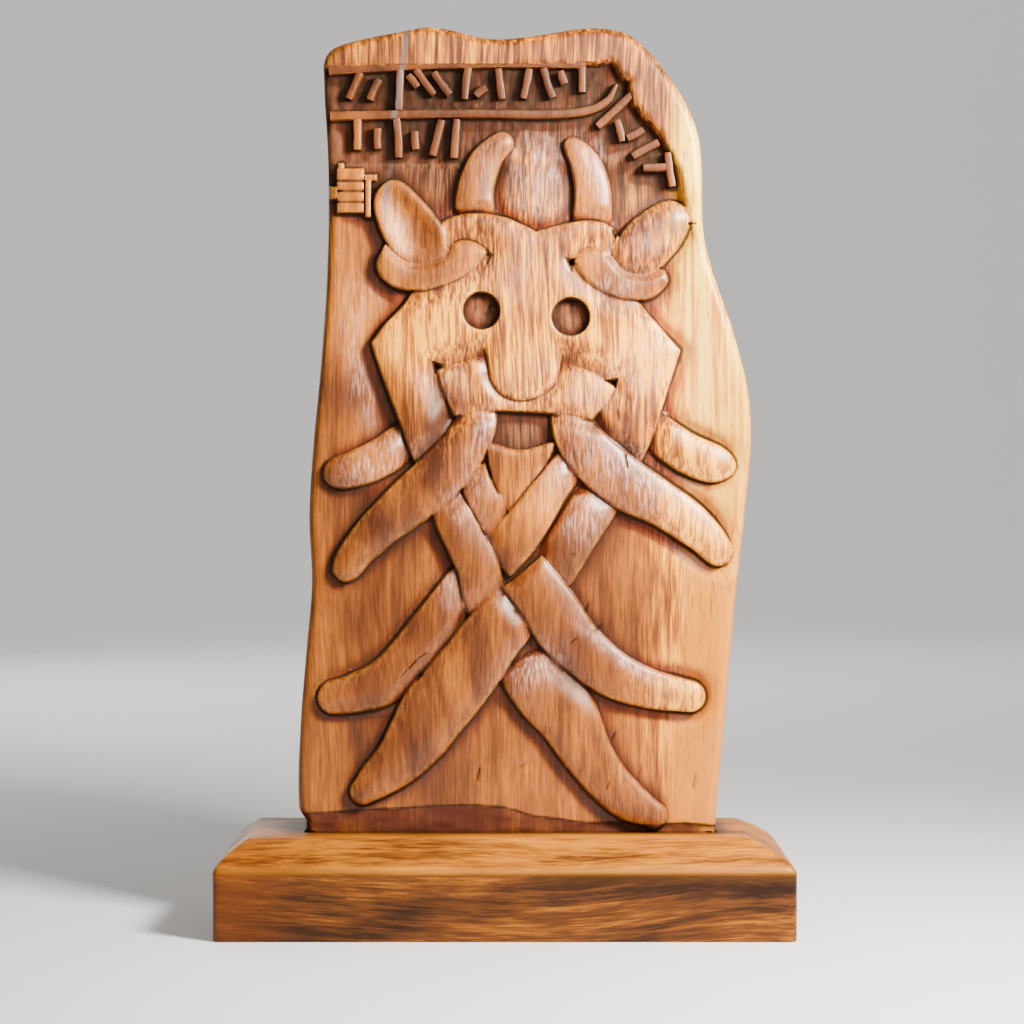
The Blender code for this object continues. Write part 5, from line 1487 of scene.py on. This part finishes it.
class RuneStoneSizes(bpy.types.PropertyGroup):
    """Sizes of the finished surfaces."""

    line_step: length("Line step", "Spacing of points along carved edges", 0.0009, 0.0005, 0.004)
    grid_step: length("Surface step", "Spacing of points over the carved face", 0.00118, 0.0008, 0.006)
    worn_edge: length("Worn edge", "Width of the rubbed bevel on carved forms", 0.0007, 0.0002, 0.002)
    front_round: length("Front arris", "Rounding of the slab's front edge", 0.004, 0.001, 0.006)
    back_round: length("Rear arris", "Rounding of the slab's rear edge", 0.0025, 0.0005, 0.005)
    gouge_depth: length("Gouge marks", "Depth of the gouge marks in the writing field", 0.0009, 0.0, 0.002)
    stroke_width: length("Stroke width", "Usual width of the raised strokes", 0.003, 0.002, 0.005)
    bar_depth: length("Bar depth", "How deep the bands and strokes reach", 0.0062, 0.005, 0.008)
    plinth_edge: length("Plinth edge", "Rounding along the top of the plinth's skirt", 0.0014, 0.0003, 0.003)
    floor_radius: length("Floor", "Radius of the level part of the round floor", 2.0, 1.5, 10.0)
    wobble_seed: IntProperty(name="Cut seed", description="Variation of the hand-cut strokes", default=7, min=0)


class RuneStoneColours(bpy.types.PropertyGroup):
    """Colours and gloss of the woods and the stage."""

    heart_black: tint("Blackest heartwood", "Darkest streaks of the slab", (0.050, 0.010, 0.003))
    heart_dark: tint("Dark heartwood", "Dark figure of the slab", (0.140, 0.033, 0.005))
    heart_mid: tint("Heartwood", "Middle tone of the slab", (0.300, 0.078, 0.006))
    heart_light: tint("Light heartwood", "Light figure of the slab", (0.580, 0.175, 0.006))
    heart_gold: tint("Golden heartwood", "Palest figure of the slab", (0.980, 0.400, 0.010))
    sapwood: tint("Sapwood", "Yellow wood along the right edge", (1.000, 0.630, 0.060))
    # Painted highlight: the whitish sheen painted in the glint areas.
    painted_sheen: tint("Silky wood", "Whitish streaks where the pores are rubbed bright", (0.900, 0.500, 0.400))
    mineral: tint("Mineral vein", "Grey-blue vein down the upper left", (0.105, 0.085, 0.080))
    # The unpolished ground's colours, also painted dark as shade in the recesses.
    dark_raw_and_shade: tint("Dark unpolished ground", "Darkest parts of the writing field", (0.016, 0.006, 0.005))
    raw_ground: tint("Unpolished ground", "Palest parts of the writing field, eyes and mouth", (0.130, 0.044, 0.028))
    pore: tint("Pores", "Open pores of the wood", (0.110, 0.030, 0.012))
    # Painted shade: the tint multiplied into the hollows, with the gathered polish.
    polish_and_shade: tint("Gathered polish", "Tint of the polish in the hollows", (0.270, 0.080, 0.025))
    # Dark stain, also used as painted shade in the corners, along each form's foot and round the slab's foot.
    stain_and_shade: tint("Corner_stain_and_shade", "Dark stain in the sharp corners", (0.010, 0.0018, 0.0008))
    strip: tint("Foot strip", "Rough reddish strip along the foot", (0.046, 0.005, 0.004))
    # Worn edges, also a painted highlight along them.
    worn: tint("Worn edge", "Rubbed edges", (0.760, 0.330, 0.030))
    plinth_dark: tint("Plinth heart", "Darkest figure of the plinth", (0.030, 0.0085, 0.003))
    plinth_brown: tint("Plinth brown", "Brown figure of the plinth", (0.105, 0.029, 0.005))
    # Golden streaks, and the painted light on the shoulders.
    plinth_gold: tint("Plinth gold", "Golden wood of the shoulders", (0.370, 0.110, 0.003))
    # Palest streaks, also the painted highlight along the skirt's top arris.
    plinth_pale: tint("Plinth pale", "Palest streaks of the shoulders", (0.560, 0.190, 0.005))
    plinth_red: tint("Plinth end", "Reddish left end of the plinth", (0.200, 0.042, 0.004))
    floor: tint("Floor", "Plain floor", (0.834, 0.825, 0.805))
    gloss: FloatProperty(name="Gloss", description="Strength of the clear polish", default=0.30, min=0.0, max=1.0,
                         subtype="FACTOR")


# ================================================================ operators
class RUNESTONE_OT_carve_slab(bpy.types.Operator):
    """Build the carved slab and let it stand for the solid one"""

    bl_idname = "runestone.carve_slab"
    bl_label = "Carved slab"

    def execute(self, context):
        scene = context.scene
        material = slab_timber(scene.rune_stone_colours)
        points, faces, values = carved_mesh(scene.rune_stone_sizes)
        slab = mesh_object("carved_slab_wood", points, faces, values, material, 50)
        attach(slab, "root")
        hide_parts("carved_slab")
        return {"FINISHED"}


class RUNESTONE_OT_raise_strokes(bpy.types.Operator):
    """Lay the two bands and the rows of plain strokes in the writing field"""

    bl_idname = "runestone.raise_strokes"
    bl_label = "Bands and strokes"

    def execute(self, context):
        sizes = context.scene.rune_stone_sizes
        material = bpy.data.materials["oiled_heartwood"]
        inputs = {"Usual width": sizes.stroke_width, "Depth": sizes.bar_depth, "Seed": sizes.wobble_seed,
                  "Material": material}
        mesh = grown_mesh("bands_and_strokes", bar_lines(sizes), bar_tree(), inputs)
        if len(mesh.polygons) == 0:
            raise RuntimeError("the bands and strokes came out empty")
        places = np.empty(len(mesh.vertices) * 3)
        mesh.vertices.foreach_get("co", places)
        flat = places.reshape(-1, 3)[:, (0, 2)] / MM
        # The bars take the tone patches, with their painted light and shade, less BAR_TONE.
        write_values(mesh, {"tone": patches(flat, TONES) - BAR_TONE})
        mesh.shade_smooth()
        mesh.set_sharp_from_angle(angle=math.radians(50))
        piece = placed("bands_and_strokes", mesh)
        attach(piece, "root")
        return {"FINISHED"}


class RUNESTONE_OT_shape_plinth(bpy.types.Operator):
    """Build the plinth with its worn shoulders and let it stand for the solid one"""

    bl_idname = "runestone.shape_plinth"
    bl_label = "Plinth"

    def execute(self, context):
        scene = context.scene
        material = plinth_timber(scene.rune_stone_colours)
        points, faces, values = plinth_mesh(scene.rune_stone_sizes)
        plinth = mesh_object("plinth_wood", points, faces, values, material, 40)
        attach(plinth, "root")
        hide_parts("plinth")
        return {"FINISHED"}


class RUNESTONE_OT_set_stage(bpy.types.Operator):
    """Lay the floor, hang the lights and place the camera"""

    bl_idname = "runestone.set_stage"
    bl_label = "Stage"

    def execute(self, context):
        scene = context.scene
        points, faces = studio_bowl(scene.rune_stone_sizes.floor_radius)
        mesh = bpy.data.meshes.new("floor")
        mesh.from_pydata(points, [], faces)
        mesh.shade_smooth()
        mesh.materials.append(floor_paint(scene.rune_stone_colours))
        floor = placed("floor", mesh)
        for light in LIGHTS:
            holder = area_light(*light)
            holder.visible_diffuse = light[0] != "sheen"
        world = bpy.data.worlds.new("studio")
        world.use_nodes = True
        backdrop = world.node_tree.nodes["Background"]
        backdrop.inputs["Color"].default_value = (0.80, 0.82, 0.86, 1.0)
        backdrop.inputs["Strength"].default_value = 0.10
        scene.world = world
        lens = bpy.data.cameras.new("camera")
        lens.lens = 84.0
        lens.sensor_width = 36.0
        lens.clip_start = 0.05
        lens.clip_end = 60.0
        camera = placed("camera", lens)
        camera.location = (0.0031, -1.075, 0.204)
        camera.rotation_euler = (math.radians(89.0), 0.0, 0.0)
        scene.camera = camera
        return {"FINISHED"}


class RUNESTONE_PT_panel(bpy.types.Panel):
    """Lists the pieces, sizes and colours of the rune stone"""

    bl_idname = "RUNESTONE_PT_panel"
    bl_label = "Rune stone"
    bl_space_type = "VIEW_3D"
    bl_region_type = "UI"
    bl_category = "Rune stone"

    def draw(self, context):
        layout = self.layout
        for step in STEPS:
            layout.operator(step.bl_idname)
        for settings in (context.scene.rune_stone_sizes, context.scene.rune_stone_colours):
            column = layout.column()
            for key in settings.bl_rna.properties.keys():
                if key not in ("rna_type", "name"):
                    column.prop(settings, key)


STEPS = (RUNESTONE_OT_carve_slab, RUNESTONE_OT_raise_strokes, RUNESTONE_OT_shape_plinth, RUNESTONE_OT_set_stage)
CLASSES = (RuneStoneSizes, RuneStoneColours) + STEPS + (RUNESTONE_PT_panel,)


def register():
    for item in CLASSES:
        bpy.utils.register_class(item)
    bpy.types.Scene.rune_stone_sizes = PointerProperty(type=RuneStoneSizes)
    bpy.types.Scene.rune_stone_colours = PointerProperty(type=RuneStoneColours)


def unregister():
    del bpy.types.Scene.rune_stone_colours
    del bpy.types.Scene.rune_stone_sizes
    for item in reversed(CLASSES):
        bpy.utils.unregister_class(item)


def main():
    register()
    bpy.ops.runestone.carve_slab()
    bpy.ops.runestone.raise_strokes()
    bpy.ops.runestone.shape_plinth()
    bpy.ops.runestone.set_stage()


if __name__ == "__main__":
    main()
